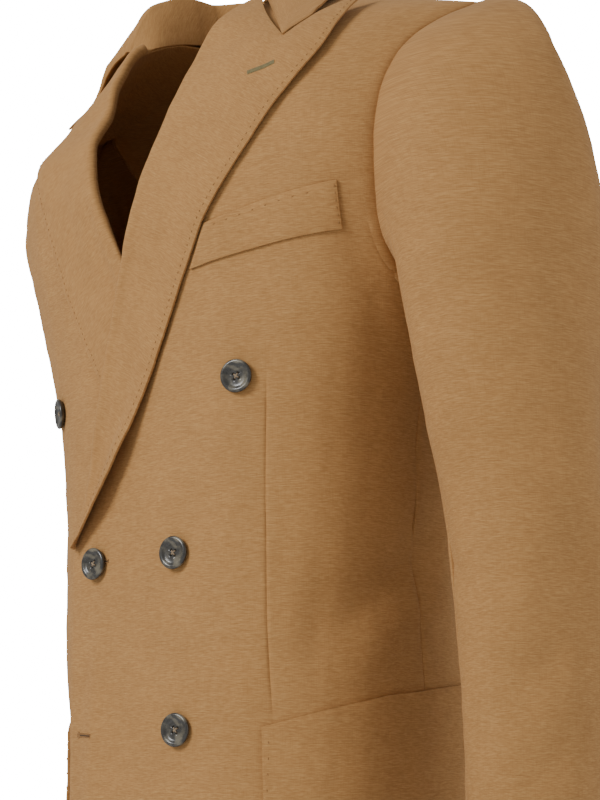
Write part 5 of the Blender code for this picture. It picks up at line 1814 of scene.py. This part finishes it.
class BLAZER_OT_stitches(bpy.types.Operator):
    """Pick stitches along the edges and the worked buttonholes"""
    bl_idname = "blazer.stitches"
    bl_label = "Stitches"

    def execute(self, context):
        finishes(context.scene)
        for side, out in (("left", 1.0), ("right", -1.0)):
            net = nets()[side + "_lapel"]
            row = stitch_row(*edge_line(net, "last_column", EDGE_STITCH, out), PICK_SPACING / 2)
            add_threads(side + "_lapel_stitches", row, "camel_thread")
            pocket = nets()[side + "_hip_pocket"]
            rows = []
            for edge in ("first_column", "last_column", "last_row"):
                rows += stitch_row(*edge_line(pocket, edge, EDGE_STITCH, -out), PICK_SPACING)
            add_threads(side + "_pocket_stitches", rows, "camel_thread")
        welt = nets()["breast_welt"]
        rows = stitch_row(*edge_line(welt, "first_row", EDGE_STITCH, -1.0), PICK_SPACING)
        rows += stitch_row(*edge_line(welt, "last_column", 0.0022, -1.0), 0.0052, 0.004, 0.003)
        add_threads("welt_stitches", rows, "camel_thread")
        for name, panel, inner_x, inner_z, outer_x, outer_z, finish, eyelet, open_slit in BUTTONHOLES:
            buttonhole(name, panel, (inner_x, inner_z), (outer_x, outer_z), finish, eyelet, open_slit)
        return {"FINISHED"}


class BLAZER_OT_studio(bpy.types.Operator):
    """Set up the floor, the soft lights and the camera"""
    bl_idname = "blazer.studio"
    bl_label = "Studio"

    def execute(self, context):
        studio = context.scene.blazer_studio
        set_stage(context.scene, studio)
        return {"FINISHED"}


class BLAZER_PT_panel(bpy.types.Panel):
    """Pieces, cloth, buttons and studio of the blazer"""
    bl_idname = "BLAZER_PT_panel"
    bl_label = "Double breasted blazer"
    bl_space_type = "VIEW_3D"
    bl_region_type = "UI"
    bl_category = "Blazer"

    def draw(self, context):
        for piece in PIECES:
            self.layout.operator(piece.bl_idname)
        for group in (context.scene.blazer_cloth, context.scene.blazer_buttons,
                      context.scene.blazer_studio):
            box = self.layout.box()
            for name in group.__annotations__:
                box.prop(group, name)


PIECES = (BLAZER_OT_fronts, BLAZER_OT_backs, BLAZER_OT_sleeves, BLAZER_OT_lapels, BLAZER_OT_collar,
          BLAZER_OT_pockets, BLAZER_OT_buttons, BLAZER_OT_stitches, BLAZER_OT_studio)
CLASSES = (BlazerCloth, BlazerButtons, BlazerStudio, *PIECES, BLAZER_PT_panel)


def register():
    for made in CLASSES:
        bpy.utils.register_class(made)
    bpy.types.Scene.blazer_cloth = PointerProperty(type=BlazerCloth)
    bpy.types.Scene.blazer_buttons = PointerProperty(type=BlazerButtons)
    bpy.types.Scene.blazer_studio = PointerProperty(type=BlazerStudio)


def unregister():
    del bpy.types.Scene.blazer_studio
    del bpy.types.Scene.blazer_buttons
    del bpy.types.Scene.blazer_cloth
    for made in reversed(CLASSES):
        bpy.utils.unregister_class(made)


def main():
    register()
    bpy.ops.blazer.fronts()
    bpy.ops.blazer.backs()
    bpy.ops.blazer.sleeves()
    bpy.ops.blazer.lapels()
    bpy.ops.blazer.collar()
    bpy.ops.blazer.pockets()
    bpy.ops.blazer.buttons()
    bpy.ops.blazer.stitches()
    bpy.ops.blazer.studio()
    bpy.context.view_layer.update()


if __name__ == "__main__":
    main()
